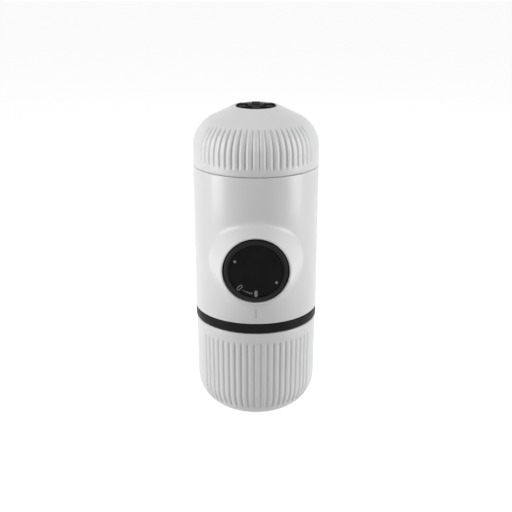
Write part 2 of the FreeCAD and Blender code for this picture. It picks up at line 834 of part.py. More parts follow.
def make_gland_seal():
    """The wiper ring round the plunger."""
    bore = "plunger_radius + running_gap"
    outer = bore + " + seal_groove - cylinder_gap"
    return turned("gland_seal", [
        (bore, "0"),
        (outer, "0"),
        (outer, "gland_seal_length - seat_gap"),
        (bore, "gland_seal_length - seat_gap"),
    ], y="0 - (" + GLAND_BACK + " + (gland_length - gland_seal_length + seat_gap) / 2)",
        z=KNOB_LEVEL, outward=True)


# Knob and plunger

def make_knob_shell():
    """The black push knob: face rim, long skirt, hub for the plunger and two bayonet lugs."""
    piece = new_body("knob_shell")
    inside = "knob_radius - knob_wall"
    revolve(piece, [
        (inside, SKIRT_END),
        ("knob_radius", SKIRT_END),
        ("knob_radius", FACE_OUT + " - knob_bevel"),
        ("knob_radius - knob_bevel", FACE_OUT),
        ("knob_face_radius", FACE_OUT),
        ("knob_face_radius", HUB_FRONT),
        ("flange_radius + guide_gap", HUB_FRONT),
        ("flange_radius + guide_gap", HUB_FRONT + " - flange_thickness - seat_gap"),
        ("plunger_radius + running_gap", HUB_FRONT + " - flange_thickness - seat_gap"),
        ("plunger_radius + running_gap", HUB_BACK),
        ("hub_radius", HUB_BACK),
        ("hub_radius", FRONT_WALL_BACK),
        (inside, FRONT_WALL_BACK),
    ])
    sketch = new_sketch(piece, "XY_Plane", SKIRT_END + " + slot_gap")
    low = "knob_radius - knob_wall / 2"
    high = "sqrt(" + LUG_RADIUS + " ^ 2 - lug_width ^ 2 / 4)"
    draw(sketch, [
        ("0 - lug_width / 2", low),
        ("lug_width / 2", low),
        ("lug_width / 2", high),
        ("0 - lug_width / 2", high),
    ])
    lug = piece.newObject("PartDesign::Pad", "lug")
    lug.Profile = sketch
    lug.setExpression("Length", bound("lug_height"))
    around(piece, lug, "2", sketch)
    return place(piece, z=KNOB_LEVEL, outward=True)


def make_knob_cap():
    """The flat disc that covers the knob's hub."""
    out = "knob_face_depth - knob_face_sunk"
    return turned("knob_cap", [
        ("0", "0"),
        ("knob_face_radius - cylinder_gap", "0"),
        ("knob_face_radius - cylinder_gap", out + " - edge_bevel / 2"),
        ("knob_face_radius - cylinder_gap - edge_bevel", out),
        ("0", out),
    ], y="0 - " + HUB_FRONT, z=KNOB_LEVEL, outward=True)


def make_plunger():
    """The steel rod: flange in the knob, groove for its clip and a grooved tip for the seal."""
    tip = PLUNGER_TIP
    length = "(" + HUB_FRONT + " - " + tip + ")"
    seal_back = "tip_length"
    seal_front = "(tip_length + seal_length)"
    clip_front = "(" + HUB_BACK + " - " + tip + " - seat_gap)"
    clip_back = "(" + clip_front + " - clip_thickness - seat_gap)"
    neck = "plunger_radius - seal_groove"
    return turned("plunger", [
        ("0", "0"),
        ("plunger_radius", "0"),
        ("plunger_radius", seal_back),
        (neck, seal_back),
        (neck, seal_front),
        ("plunger_radius", seal_front),
        ("plunger_radius", clip_back),
        ("plunger_radius - clip_groove", clip_back),
        ("plunger_radius - clip_groove", clip_front),
        ("plunger_radius", clip_front),
        ("plunger_radius", length + " - flange_thickness"),
        ("flange_radius", length + " - flange_thickness"),
        ("flange_radius", length + " - seat_gap"),
        ("0", length + " - seat_gap"),
    ], y="0 - " + tip, z=KNOB_LEVEL, outward=True)


def make_plunger_seal():
    """The cup seal on the plunger's tip, a running fit in the cylinder."""
    inner = "plunger_radius - seal_groove + cylinder_gap"
    outer = "bore_radius - running_gap"
    long = "seal_length - seat_gap"
    return turned("plunger_seal", [
        (inner, "0"),
        (outer, "0"),
        (outer, "seal_length / 3"),
        ("plunger_radius + running_gap", "seal_length / 2"),
        (outer, long),
        (inner, long),
    ], y="0 - " + SEAL_BACK + " - seat_gap / 2", z=KNOB_LEVEL, outward=True)


def make_plunger_clip():
    """The split ring in the plunger's groove, behind the knob's hub."""
    ring = turned("ring", [
        ("plunger_radius - clip_groove + cylinder_gap", "0"),
        ("clip_radius", "0"),
        ("clip_radius", "clip_thickness"),
        ("plunger_radius - clip_groove + cylinder_gap", "clip_thickness"),
    ], y="0 - (" + HUB_BACK + " - seat_gap - seat_gap / 2 - clip_thickness)", z=KNOB_LEVEL, outward=True)
    gap = box("plunger_radius", "clip_thickness + 2 * seat_gap", "2 * clip_radius",
              "0 - plunger_radius / 2", "0 - " + HUB_BACK, KNOB_LEVEL + " - 2 * clip_radius")
    return cut(ring, [gap], "plunger_clip")


def make_return_spring():
    """The room of the coil spring that pushes the knob out, between the well's floor and the knob."""
    inner = "spring_radius - spring_wire / 2"
    outer = "spring_radius + spring_wire / 2"
    long = FRONT_WALL_BACK + " - well_floor - 2 * seat_gap"
    return turned("return_spring", [
        (inner, "0"),
        (outer, "0"),
        (outer, long),
        (inner, long),
    ], y="0 - (well_floor + seat_gap)", z=KNOB_LEVEL, outward=True)


# Valves

def make_valve_block():
    """The upright block behind the cylinder: inlet chamber above, outlet chamber below."""
    block = new_body("block")
    revolve(block, [
        ("chamber_radius", "0 - " + HALF_BLOCK),
        ("block_radius", "0 - " + HALF_BLOCK),
        ("block_radius", HALF_BLOCK),
        ("chamber_radius", HALF_BLOCK),
        ("chamber_radius", "throat_length / 2"),
        ("throat_radius", "throat_length / 2"),
        ("throat_radius", "0 - throat_length / 2"),
        ("chamber_radius", "0 - throat_length / 2"),
    ])
    place(block, y="block_offset", z=HOUSING_BASE + " + housing_height / 2")
    flat = box("2 * block_radius", "block_radius", "housing_height",
               "0 - block_radius", "block_offset - block_flat - block_radius", HOUSING_BASE)
    bore = cylinder("cross_bore", "block_offset", y="block_offset", z=KNOB_LEVEL, outward=True)
    return cut(block, [flat, bore], "valve_block")


def valve_parts(name, top, chamber):
    """One poppet and its spring below; top is the height of the valve's seat."""
    poppet = turned(name + "_valve", [
        ("0", "0 - valve_seat_gap"),
        ("0", "0 - valve_thickness - valve_stem_length"),
        ("valve_stem_radius", "0 - valve_thickness - valve_stem_length"),
        ("valve_stem_radius", "0 - valve_thickness"),
        ("valve_radius", "0 - valve_thickness"),
        ("valve_radius", "0 - valve_seat_gap"),
    ], y="block_offset", z=top)
    inner = "valve_spring_radius - valve_spring_wire / 2"
    outer = "valve_spring_radius + valve_spring_wire / 2"
    spring = turned(name + "_spring", [
        (inner, "0 - " + chamber + " + seat_gap"),
        (outer, "0 - " + chamber + " + seat_gap"),
        (outer, "0 - valve_thickness - seat_gap"),
        (inner, "0 - valve_thickness - seat_gap"),
    ], y="block_offset", z=top)
    return [poppet, spring]


def plug(label, bottom, top):
    """A pierced plug pressed into the valve block's chamber."""
    outer = "chamber_radius - cylinder_gap"
    return turned(label, [
        ("throat_radius", bottom),
        (outer, bottom),
        (outer, top),
        ("throat_radius", top),
    ], y="block_offset", z=HOUSING_BASE + " + housing_height / 2")


def make_port_seals():
    """The two rings that seal the valve block to the tank collar and the brew head."""
    rings = []
    for z in (HOUSING_BASE + " + seat_gap",
              HOUSING_BASE + " + housing_height - seat_gap - port_seal_height"):
        ring = cut(cylinder("port_seal_radius", "port_seal_height", y="block_offset", z=z),
                   [cylinder("port_seal_inner", "port_seal_height", y="block_offset", z=z)])
        rings.append(ring)
    group = doc.addObject("Part::Compound", "port_seals")
    group.Label = "port_seals"
    group.Links = rings
    return group


def make_valves():
    middle = HOUSING_BASE + " + housing_height / 2"
    inlet_top = middle + " + throat_length / 2 + inlet_chamber"
    outlet_top = middle + " - throat_length / 2"
    end = "(" + HALF_BLOCK + " - port_seal_height - seat_gap)"
    pieces = valve_parts("inlet", inlet_top, "inlet_chamber")
    pieces += valve_parts("outlet", outlet_top, "outlet_chamber")
    pieces.append(plug("inlet_seat", "throat_length / 2 + inlet_chamber", end))
    pieces.append(plug("outlet_cage", "0 - " + end, "0 - throat_length / 2 - outlet_chamber"))
    return pieces


# Tank collar

def make_tank_collar():
    """The upper moulding of the main body: the threaded mouth for the tank."""
    piece = new_body("tank_collar")
    high = "(sleeve_height - group_height - housing_height - collar_top_gap)"
    revolve(piece, [
        ("0", "0"),
        (CORE_RADIUS, "0"),
        (CORE_RADIUS, high),
        ("collar_bore", high),
        ("collar_bore", "collar_floor"),
        ("0", "collar_floor"),
    ])
    drill(piece, [("0", "block_offset", "inlet_radius"),
                  ("0", "0 - air_valve_offset", "air_stem_radius + screw_fit")],
          "collar_floor", lift="collar_floor")
    drill(piece, [("0", "block_offset", "strainer_radius + cylinder_gap")],
          "strainer_seat", lift="collar_floor")
    spots = [on_circle("collar_screw_circle", a) for a in post_angles()]
    drill(piece, [(x, y, "post_screw_radius + screw_fit") for x, y in spots],
          "collar_floor", lift="collar_floor")
    drill(piece, [(x, y, "post_head_radius + screw_fit") for x, y in spots],
          "post_head_height", lift="collar_floor")
    return place(piece, z=COLLAR_BASE)


def make_collar_screws():
    """Four screws that hold the tank collar to the pump housing, their heads sunk in its floor."""
    return screws("collar_screws", "collar_screw_circle", post_angles(), "post_screw_radius",
                  "post_head_radius", "post_head_height - press_gap",
                  "post_screw_length - post_head_height",
                  COLLAR_BASE + " + collar_floor - post_head_height", True)


def make_inlet_strainer():
    """The pierced disc over the pump's inlet."""
    piece = new_body("inlet_strainer")
    revolve(piece, [
        ("0", "0"),
        ("strainer_radius", "0"),
        ("strainer_radius", "strainer_thickness"),
        ("0", "strainer_thickness"),
    ])
    drill(piece, [("0", "0", "strainer_hole_radius")]
          + ring_of_holes("strainer_hole_radius", "strainer_radius * 0.3", 4),
          "strainer_thickness", lift="strainer_thickness")
    return place(piece, y="block_offset", z=COLLAR_BASE + " + collar_floor - strainer_seat")


def make_air_valve():
    """The soft umbrella that lets air into the tank as the water leaves."""
    return turned("air_valve", [
        ("0", "0"),
        ("air_stem_radius", "0"),
        ("air_stem_radius", "collar_floor"),
        ("air_cap_radius", "collar_floor"),
        ("air_cap_radius / 2", "collar_floor + air_cap_height"),
        ("0", "collar_floor + air_cap_height"),
    ], y="0 - air_valve_offset", z=COLLAR_BASE)


# Portafilter and what it carries

def make_portafilter():
    """The black ring with its collar, the spigot for the cup, the bowl, funnel and outlet boss."""
    spigot = "(cup_rim_radius - cup_wall - cup_fit)"
    bowl_out = "(" + BOWL_RADIUS + " + bowl_wall)"
    bowl_floor = "(ring_height + seat_gap - basket_depth - bowl_sump)"
    funnel_end = "(" + bowl_floor + " - funnel_drop)"
    boss_base = "(" + funnel_end + " - bowl_wall - boss_length)"
    core = "ring_height - core_roof"
    piece = new_body("portafilter")
    revolve(piece, [
        ("outlet_radius", boss_base),
        ("boss_radius", boss_base),
        ("boss_radius", funnel_end + " - bowl_wall"),
        (bowl_out, bowl_floor + " - bowl_wall"),
        (bowl_out, core),
        (spigot + " - spigot_wall", core),
        (spigot + " - spigot_wall", "0 - spigot_height"),
        (spigot, "0 - spigot_height"),
        (spigot, "0 - ring_groove - ring_section"),
        (spigot + " - ring_groove", "0 - ring_groove - ring_section"),
        (spigot + " - ring_groove", "0 - ring_groove"),
        (spigot, "0 - ring_groove"),
        (spigot, "0"),
        ("ring_radius", "0"),
        ("ring_radius", "ring_height"),
        ("collar_radius", "ring_height"),
        ("collar_radius", "ring_height + collar_height"),
        ("collar_radius - collar_wall", "ring_height + collar_height"),
        ("collar_radius - collar_wall", "ring_height"),
        (BOWL_RADIUS, "ring_height"),
        (BOWL_RADIUS, bowl_floor),
        ("outlet_radius", funnel_end),
    ])
    return place(piece, z=RING_BASE)


def make_filter_basket():
    """The steel cup for the coffee, with a pierced floor."""
    piece = new_body("filter_basket")
    bottom = "0 - basket_depth"
    inside = "basket_radius - basket_wall"
    revolve(piece, [
        ("0", bottom),
        ("basket_radius", bottom),
        ("basket_radius", "0"),
        ("basket_rim_radius", "0"),
        ("basket_rim_radius", "rim_thickness"),
        (inside, "rim_thickness"),
        (inside, bottom + " + basket_wall"),
        ("0", bottom + " + basket_wall"),
    ])
    drill(piece, [("0", "0", "basket_hole_radius")]
          + ring_of_holes("basket_hole_radius", "basket_radius * 0.4", 6)
          + ring_of_holes("basket_hole_radius", "basket_radius * 0.75", 10),
          "basket_wall", lift=bottom + " + basket_wall")
    return place(piece, z=BASKET_REST)


def nozzle_level():
    """Height of the outlet boss's lower end above the floor."""
    drop = " - basket_depth - bowl_sump - funnel_drop - bowl_wall - boss_length"
    return "(" + RING_BASE + " + ring_height + seat_gap" + drop + ")"


def make_outlet_nozzle():
    """The spout cap on the outlet boss; it holds the valve that keeps the brew under pressure."""
    low = "(nozzle_chamber + nozzle_floor)"
    bore = "boss_radius + nozzle_fit"
    return turned("outlet_nozzle", [
        ("nozzle_hole_radius", "0"),
        ("nozzle_radius - knob_bevel", "0"),
        ("nozzle_radius", "knob_bevel"),
        ("nozzle_radius", low + " + nozzle_grip"),
        (bore, low + " + nozzle_grip"),
        (bore, low),
        ("boss_radius - nozzle_floor / 2", low),
        ("boss_radius - nozzle_floor / 2", "nozzle_floor"),
        ("nozzle_hole_radius", "nozzle_floor"),
    ], z=nozzle_level() + " - " + low + " - seat_gap")


def make_nozzle_valve():
    level = nozzle_level()
    valve = turned("nozzle_valve", [
        ("0", "0"),
        ("valve_radius", "0"),
        ("valve_radius", "valve_thickness / 2"),
        ("0", "valve_thickness"),
    ], z=level + " - valve_seat_gap - valve_thickness")
    inner = "valve_spring_radius + valve_spring_wire"
    outer = "valve_spring_radius + 2 * valve_spring_wire"
    spring = turned("nozzle_spring", [
        (inner, "0"),
        (outer, "0"),
        (outer, "nozzle_chamber - valve_thickness - valve_seat_gap - seat_gap"),
        (inner, "nozzle_chamber - valve_thickness - valve_seat_gap - seat_gap"),
    ], z=level + " - nozzle_chamber - seat_gap / 2")
    return [valve, spring]


def make_cup_ring():
    """The rubber ring in the spigot's groove that grips the cup."""
    outer = "(cup_rim_radius - cup_wall - cup_fit + ring_proud)"
    inner = "(cup_rim_radius - cup_wall - cup_fit - ring_groove + seat_gap)"
    return turned("cup_ring", [
        (inner, "0"),
        (outer, "0"),
        (outer, "ring_section - seat_gap"),
        (inner, "ring_section - seat_gap"),
    ], z=RING_BASE + " - ring_groove - ring_section + seat_gap / 2")


def make_coffee_scoop():
    """The round measure that is stored in the cup, its lip turned out."""
    inner = "scoop_radius - scoop_wall"
    base = "scoop_base_radius - scoop_wall / 2"
    return turned("coffee_scoop", [
        ("0", "0"),
        ("scoop_base_radius", "0"),
        ("scoop_radius", "scoop_cone_height"),
        ("scoop_radius", "scoop_height - scoop_wall"),
        ("scoop_radius + scoop_lip", "scoop_height - scoop_wall"),
        ("scoop_radius + scoop_lip", "scoop_height"),
        (inner, "scoop_height"),
        (inner, "scoop_cone_height"),
        (base, "scoop_wall"),
        ("0", "scoop_wall"),
    ], z="cup_floor + seat_gap")


pieces = [
    make_tank_shell(),
    make_tank_liner(),
    make_tank_foot(),
    make_tank_seal(),
    make_body_sleeve(),
    make_tank_collar(),
    make_collar_screws(),
    make_inlet_strainer(),
    make_air_valve(),
    make_pump_housing(),
    make_knob_guide(),
    make_pump_cylinder(),
    make_rod_gland(),
    make_gland_seal(),
    make_valve_block(),
    make_port_seals(),
    make_group_head(),
    make_group_screws(),
    make_group_gasket(),
    make_shower_screen(),
    make_shower_screw(),
    make_knob_shell(),
    make_knob_cap(),
    make_plunger(),
    make_plunger_seal(),
    make_plunger_clip(),
    make_return_spring(),
    make_portafilter(),
    make_filter_basket(),
    make_outlet_nozzle(),
    make_cup_ring(),
    make_drinking_cup(),
    make_coffee_scoop(),
]
pieces += make_valves() + make_nozzle_valve()
doc.recompute()

for item in doc.Objects:
    if "Invalid" in item.State or "Error" in item.State:
        raise RuntimeError("not built: %s %s" % (item.Label, item.State))
for piece in pieces:
    if piece.Shape.isNull() or not piece.Shape.isValid() or not piece.Shape.Solids:
        raise RuntimeError("no valid solid: " + piece.Label)

os.makedirs("parts", exist_ok=True)
for piece in pieces:
    piece.Shape.exportStep(os.path.join("parts", piece.Label + ".step"))
print(len(pieces), "pieces written")
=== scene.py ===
"""Handheld manual espresso maker: the detailed visual model over its CAD frame."""
import logging
import math
from dataclasses import dataclass
from enum import Enum

import bpy
from mathutils import Matrix, Vector


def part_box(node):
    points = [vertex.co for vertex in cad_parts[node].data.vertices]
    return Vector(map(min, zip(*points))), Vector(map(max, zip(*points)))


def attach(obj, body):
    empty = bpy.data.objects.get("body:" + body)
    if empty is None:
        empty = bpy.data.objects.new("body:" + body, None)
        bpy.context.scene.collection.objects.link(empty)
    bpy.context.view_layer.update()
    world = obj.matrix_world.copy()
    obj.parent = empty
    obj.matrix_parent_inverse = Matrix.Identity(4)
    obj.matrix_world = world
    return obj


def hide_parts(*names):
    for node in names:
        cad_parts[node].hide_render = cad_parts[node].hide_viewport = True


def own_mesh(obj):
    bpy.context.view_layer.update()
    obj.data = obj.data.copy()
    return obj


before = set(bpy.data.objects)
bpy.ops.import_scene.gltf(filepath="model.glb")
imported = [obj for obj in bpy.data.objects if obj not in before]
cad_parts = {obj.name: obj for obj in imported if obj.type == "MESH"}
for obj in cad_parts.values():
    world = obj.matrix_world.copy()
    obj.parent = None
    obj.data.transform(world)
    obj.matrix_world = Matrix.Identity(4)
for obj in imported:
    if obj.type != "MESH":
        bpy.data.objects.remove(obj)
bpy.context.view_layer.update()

MM = 0.001
FULL_TURN = 2 * math.pi
QUARTER_TURN = math.pi / 2
# Thickness of the flat marks: the knob's print and the index line's painted shade.
PRINT_AND_PAINTED_SHADE_THICK = 0.05
PATTERN_LOW = 0.3
PATTERN_HIGH = 0.7
LOG = logging.getLogger("espresso_maker")

Point = tuple[float, ...]


class Turning(Enum):
    """The two axes that the maker's round pieces are turned about."""

    UPRIGHT = "z"
    OUTWARD = "y"


class Slot(Enum):
    """The material slots of the record."""

    WHITE_SHELL = "white_shell"
    BLACK_PLASTIC = "black_plastic"
    KNOB_BLACK = "knob_black"
    GREY_PLASTIC = "grey_plastic"
    BLACK_RUBBER = "black_rubber"
    SILICONE = "silicone"
    STEEL = "steel"
    SPRING_STEEL = "spring_steel"
    BRASS = "brass"


# Finishes

@dataclass(frozen=True)
class Finish:
    """A surface: a colour that varies a little, a fine grain and a sheen that varies with it.

    Mirror is the strength of its plain reflections; stretch and the two scales shape the pattern.
    """

    name: str
    dark: Point
    light: Point
    roughness: Point
    grain_scale: float
    grain_depth: float
    metallic: float = 0.0
    coat: float = 0.0
    mirror: float = 0.5
    stretch: Point = (1.0, 1.0, 1.0)
    blotch_scale: float = 60.0

    def material(self) -> bpy.types.Material:
        """Give the material of this finish, made at its first use.

        Returns:
            The node material, its pattern read from Object coordinates.
        """
        known = bpy.data.materials.get(self.name)
        if known:
            return known
        material = bpy.data.materials.new(self.name)
        material.use_nodes = True
        nodes, links = material.node_tree.nodes, material.node_tree.links
        shader = nodes["Principled BSDF"]
        shader.inputs["Metallic"].default_value = self.metallic
        shader.inputs["Coat Weight"].default_value = self.coat
        shader.inputs["Specular IOR Level"].default_value = self.mirror
        shader.inputs["Coat Roughness"].default_value = 0.12
        place = nodes.new("ShaderNodeTexCoord")
        mapping = nodes.new("ShaderNodeMapping")
        mapping.inputs["Scale"].default_value = self.stretch
        links.new(place.outputs["Object"], mapping.inputs["Vector"])
        blotch = self.noise(material, mapping, self.blotch_scale, 3.0)
        ramp = nodes.new("ShaderNodeValToRGB")
        ramp.color_ramp.elements[0].position = PATTERN_LOW
        ramp.color_ramp.elements[1].position = PATTERN_HIGH
        ramp.color_ramp.elements[0].color = (*self.dark, 1.0)
        ramp.color_ramp.elements[1].color = (*self.light, 1.0)
        links.new(blotch.outputs["Fac"], ramp.inputs["Fac"])
        links.new(ramp.outputs["Color"], shader.inputs["Base Color"])
        grain = self.noise(material, mapping, self.grain_scale, 4.0)
        spread = nodes.new("ShaderNodeMapRange")
        spread.inputs["From Min"].default_value = PATTERN_LOW
        spread.inputs["From Max"].default_value = PATTERN_HIGH
        spread.inputs["To Min"].default_value = self.roughness[0]
        spread.inputs["To Max"].default_value = self.roughness[1]
        links.new(grain.outputs["Fac"], spread.inputs["Value"])
        links.new(spread.outputs["Result"], shader.inputs["Roughness"])
        bump = nodes.new("ShaderNodeBump")
        bump.inputs["Strength"].default_value = 0.35
        bump.inputs["Distance"].default_value = self.grain_depth * MM
        links.new(grain.outputs["Fac"], bump.inputs["Height"])
        links.new(bump.outputs["Normal"], shader.inputs["Normal"])
        return material

    @staticmethod
    def noise(material: bpy.types.Material, mapping: bpy.types.ShaderNode, scale: float,
              detail: float) -> bpy.types.ShaderNode:
        """Add a noise pattern that is fed by the mapping.

        Args:
            material: The material that the node goes into.
            mapping: The Mapping node that gives its place.
            scale: Waves to the metre.
            detail: Octaves of finer noise.

        Returns:
            The noise node.
        """
        node = material.node_tree.nodes.new("ShaderNodeTexNoise")
        node.inputs["Scale"].default_value = scale
        node.inputs["Detail"].default_value = detail
        material.node_tree.links.new(mapping.outputs["Vector"], node.inputs["Vector"])
        return node


WHITE = Finish("white_satin_plastic", (0.71, 0.71, 0.72), (0.75, 0.75, 0.755), (0.31, 0.38),
               3200.0, 0.012, coat=0.15, blotch_scale=25.0)
BLACK = Finish("black_satin_plastic", (0.009, 0.009, 0.010), (0.016, 0.016, 0.017), (0.34, 0.46),
               5200.0, 0.03, mirror=0.07, blotch_scale=90.0)
KNOB = Finish("black_knob_plastic", (0.007, 0.007, 0.008), (0.012, 0.012, 0.013), (0.28, 0.38),
              5200.0, 0.02, mirror=0.16, blotch_scale=120.0)
KNOB_FACE = Finish("black_knob_face", (0.006, 0.006, 0.007), (0.010, 0.010, 0.011), (0.42, 0.54),
                   6400.0, 0.03, mirror=0.06, blotch_scale=150.0)
PRINT = Finish("grey_pad_print", (0.20, 0.20, 0.205), (0.30, 0.30, 0.305), (0.45, 0.60),
               7000.0, 0.01, mirror=0.15, blotch_scale=900.0)
# Flat grey that paints the shade of the body's moulded index line; it is painted shade, not print.
INDEX_LINE_PAINTED_SHADE = Finish("index_line_painted_shade_grey", (0.42, 0.42, 0.43), (0.50, 0.50, 0.51), (0.40, 0.50),
                    7000.0, 0.01, blotch_scale=700.0)
GREY = Finish("grey_inner_plastic", (0.115, 0.118, 0.122), (0.150, 0.153, 0.158), (0.40, 0.52),
              4200.0, 0.03, blotch_scale=80.0)
CLEAR_GREY = Finish("smoked_liner_plastic", (0.30, 0.31, 0.32), (0.36, 0.37, 0.38), (0.18, 0.26),
                    2600.0, 0.01, coat=0.3, blotch_scale=40.0)
RUBBER = Finish("black_foot_rubber", (0.010, 0.010, 0.010), (0.022, 0.022, 0.022), (0.55, 0.75),
                2600.0, 0.05, mirror=0.05, blotch_scale=220.0)
SILICONE = Finish("pale_seal_silicone", (0.42, 0.43, 0.44), (0.52, 0.53, 0.54), (0.38, 0.50),
                  2200.0, 0.03, blotch_scale=180.0)
STEEL = Finish("turned_stainless_steel", (0.50, 0.49, 0.48), (0.66, 0.65, 0.64), (0.18, 0.34),
               900.0, 0.01, metallic=1.0, stretch=(0.05, 0.05, 3.0), blotch_scale=300.0)
SPRING = Finish("drawn_spring_steel", (0.36, 0.35, 0.34), (0.52, 0.51, 0.50), (0.24, 0.40),
                2400.0, 0.01, metallic=1.0, blotch_scale=700.0)
BRASS = Finish("turned_brass", (0.62, 0.42, 0.17), (0.78, 0.55, 0.25), (0.20, 0.34),
               1400.0, 0.01, metallic=1.0, stretch=(3.0, 0.05, 0.05), blotch_scale=260.0)


# Bench: the few moves that all pieces are made with

def clear_selection() -> None:
    """Leave edit mode and deselect everything, the CAD nodes too."""
    if bpy.context.mode != "OBJECT":
        bpy.ops.object.mode_set(mode="OBJECT")
    bpy.ops.object.select_all(action="DESELECT")


def pick(piece: bpy.types.Object) -> None:
    """Select only this piece and make it the active one."""
    clear_selection()
    piece.select_set(True)
    bpy.context.view_layer.objects.active = piece


def settle(piece: bpy.types.Object) -> None:
    """Put the piece's place, turn and scale into its mesh."""
    pick(piece)
    bpy.ops.object.transform_apply(location=True, rotation=True, scale=True)


def smooth(piece: bpy.types.Object, angle: float = 32.0) -> None:
    """Shade the piece smooth, but keep edges sharper than the angle crisp."""
    pick(piece)
    bpy.ops.object.shade_smooth_by_angle(angle=math.radians(angle))


def close_up(piece: bpy.types.Object) -> None:
    """Merge doubled vertices and turn all faces outwards."""
    pick(piece)
    bpy.ops.object.mode_set(mode="EDIT")
    bpy.ops.mesh.select_all(action="SELECT")
    bpy.ops.mesh.remove_doubles(threshold=0.002 * MM)
    bpy.ops.mesh.normals_make_consistent(inside=False)
    bpy.ops.object.mode_set(mode="OBJECT")


def fillet(corner: Point, before: Point, after: Point) -> list[Point]:
    """Round one corner of an outline.

    Args:
        corner: Radius, height and the rounding's radius, in mm.
        before: The corner before it.
        after: The corner after it.

    Returns:
        The points that stand for the corner.
    """
    here = Vector(corner[:2])
    back = (Vector(before[:2]) - here).normalized()
    ahead = (Vector(after[:2]) - here).normalized()
    half = back.angle(ahead) / 2
    reach = corner[2] / math.tan(half)
    centre = here + (back + ahead).normalized() * (corner[2] / math.sin(half))
    first = here + back * reach - centre
    last = here + ahead * reach - centre
    steps = 3 if corner[2] < 0.6 else 6
    sweep = first.angle_signed(last)
    points = []
    for i in range(steps + 1):
        turn = Matrix.Rotation(-sweep * i / steps, 2)
        points.append(tuple(centre + turn @ first))
    return points


def outline(corners: list[Point]) -> list[Point]:
    """Turn a list of corners into the points of a closed outline.

    Args:
        corners: Radius and height in mm, with a rounding's radius as a third number if wanted.

    Returns:
        The points in order, the first not repeated.
    """
    points: list[Point] = []
    for i, corner in enumerate(corners):
        if len(corner) > 2:
            points += fillet(corner, corners[i - 1], corners[(i + 1) % len(corners)])
        else:
            points.append(tuple(corner))
    return points


def arc(centre: Point, radius: float, turns: list[float]) -> list[Point]:
    """Points of an arc at the given angles from straight outwards, in radians."""
    return [(centre[0] + radius * math.cos(turn), centre[1] + radius * math.sin(turn))
            for turn in turns]


def trace(name: str, points: list[Vector]) -> bpy.types.Object:
    """Draw a closed line by extruding one vertex from point to point.

    Args:
        name: The new object's name.
        points: The points in metres.

    Returns:
        The new object, left in edit mode with all selected.
    """
    clear_selection()
    bpy.ops.mesh.primitive_plane_add(size=MM, location=(0, 0, 0))
    piece = bpy.context.active_object
    piece.name = piece.data.name = name
    bpy.ops.object.mode_set(mode="EDIT")
    bpy.ops.mesh.select_mode(type="VERT")
    bpy.ops.mesh.select_all(action="SELECT")
    bpy.ops.mesh.merge(type="CENTER")
    bpy.ops.transform.translate(value=points[0])
    here = points[0]
    for point in points[1:] + points[:1]:
        bpy.ops.mesh.extrude_region_move(TRANSFORM_OT_translate={"value": point - here})
        here = point
    bpy.ops.mesh.select_all(action="SELECT")
    bpy.ops.mesh.remove_doubles(threshold=0.0005 * MM)
    return piece


def lathe(name: str, points: list[Point], steps: int = 192, turning: Turning = Turning.UPRIGHT,
          centre: Point = (0.0, 0.0, 0.0)) -> bpy.types.Object:
    """Spin an outline into a round piece.

    Args:
        name: The new object's name.
        points: Radius, and height above or distance out from the centre, in mm.
        steps: Faces round the piece.
        turning: The axis.
        centre: A point of the axis, in mm.

    Returns:
        The round piece, smooth, with its faces outwards.
    """
    middle = Vector(centre)
    if turning is Turning.UPRIGHT:
        spots = [(middle + Vector((r, 0, h))) * MM for r, h in points]
        axis = (0.0, 0.0, 1.0)
    else:
        spots = [(middle + Vector((r, -h, 0))) * MM for r, h in points]
        axis = (0.0, 1.0, 0.0)
    piece = trace(name, spots)
    bpy.ops.mesh.spin(steps=steps, angle=FULL_TURN, center=middle * MM, axis=axis,
                      use_auto_merge=True)
    close_up(piece)
    smooth(piece)
    return piece


def apply_modifier(piece: bpy.types.Object, name: str) -> None:
    """Apply one modifier of the piece."""
    pick(piece)
    bpy.ops.object.modifier_apply(modifier=name)


def cut_away(piece: bpy.types.Object, tool: bpy.types.Object) -> None:
    """Cut the tool's form out of the piece and throw the tool away."""
    knife = piece.modifiers.new("cut", "BOOLEAN")
    knife.operation = "DIFFERENCE"
    knife.solver = "EXACT"
    knife.object = tool
    apply_modifier(piece, knife.name)
    bpy.data.objects.remove(tool, do_unlink=True)


def join(pieces: list[bpy.types.Object], name: str) -> bpy.types.Object:
    """Make several meshes one object and give it a name."""
    clear_selection()
    for piece in pieces:
        piece.select_set(True)
    bpy.context.view_layer.objects.active = pieces[0]
    bpy.ops.object.join()
    pieces[0].name = pieces[0].data.name = name
    return pieces[0]


def turned_copies(piece: bpy.types.Object, count: int, axis: str = "Z",
                  centre: Point = (0.0, 0.0, 0.0)) -> list[bpy.types.Object]:
    """Copy a piece evenly round an axis, each copy with its own mesh.

    Args:
        piece: The first of the set.
        count: How many there are in all.
        axis: The axis' letter.
        centre: A point of the axis, in mm.

    Returns:
        All of them, the first one included.
    """
    spot = Matrix.Translation(Vector(centre) * MM)
    made = [piece]
    for i in range(1, count):
        twin = piece.copy()
        twin.data = piece.data.copy()
        bpy.context.scene.collection.objects.link(twin)
        turn = Matrix.Rotation(FULL_TURN * i / count, 4, axis)
        twin.data.transform(spot @ turn @ spot.inverted())
        made.append(twin)
    return made


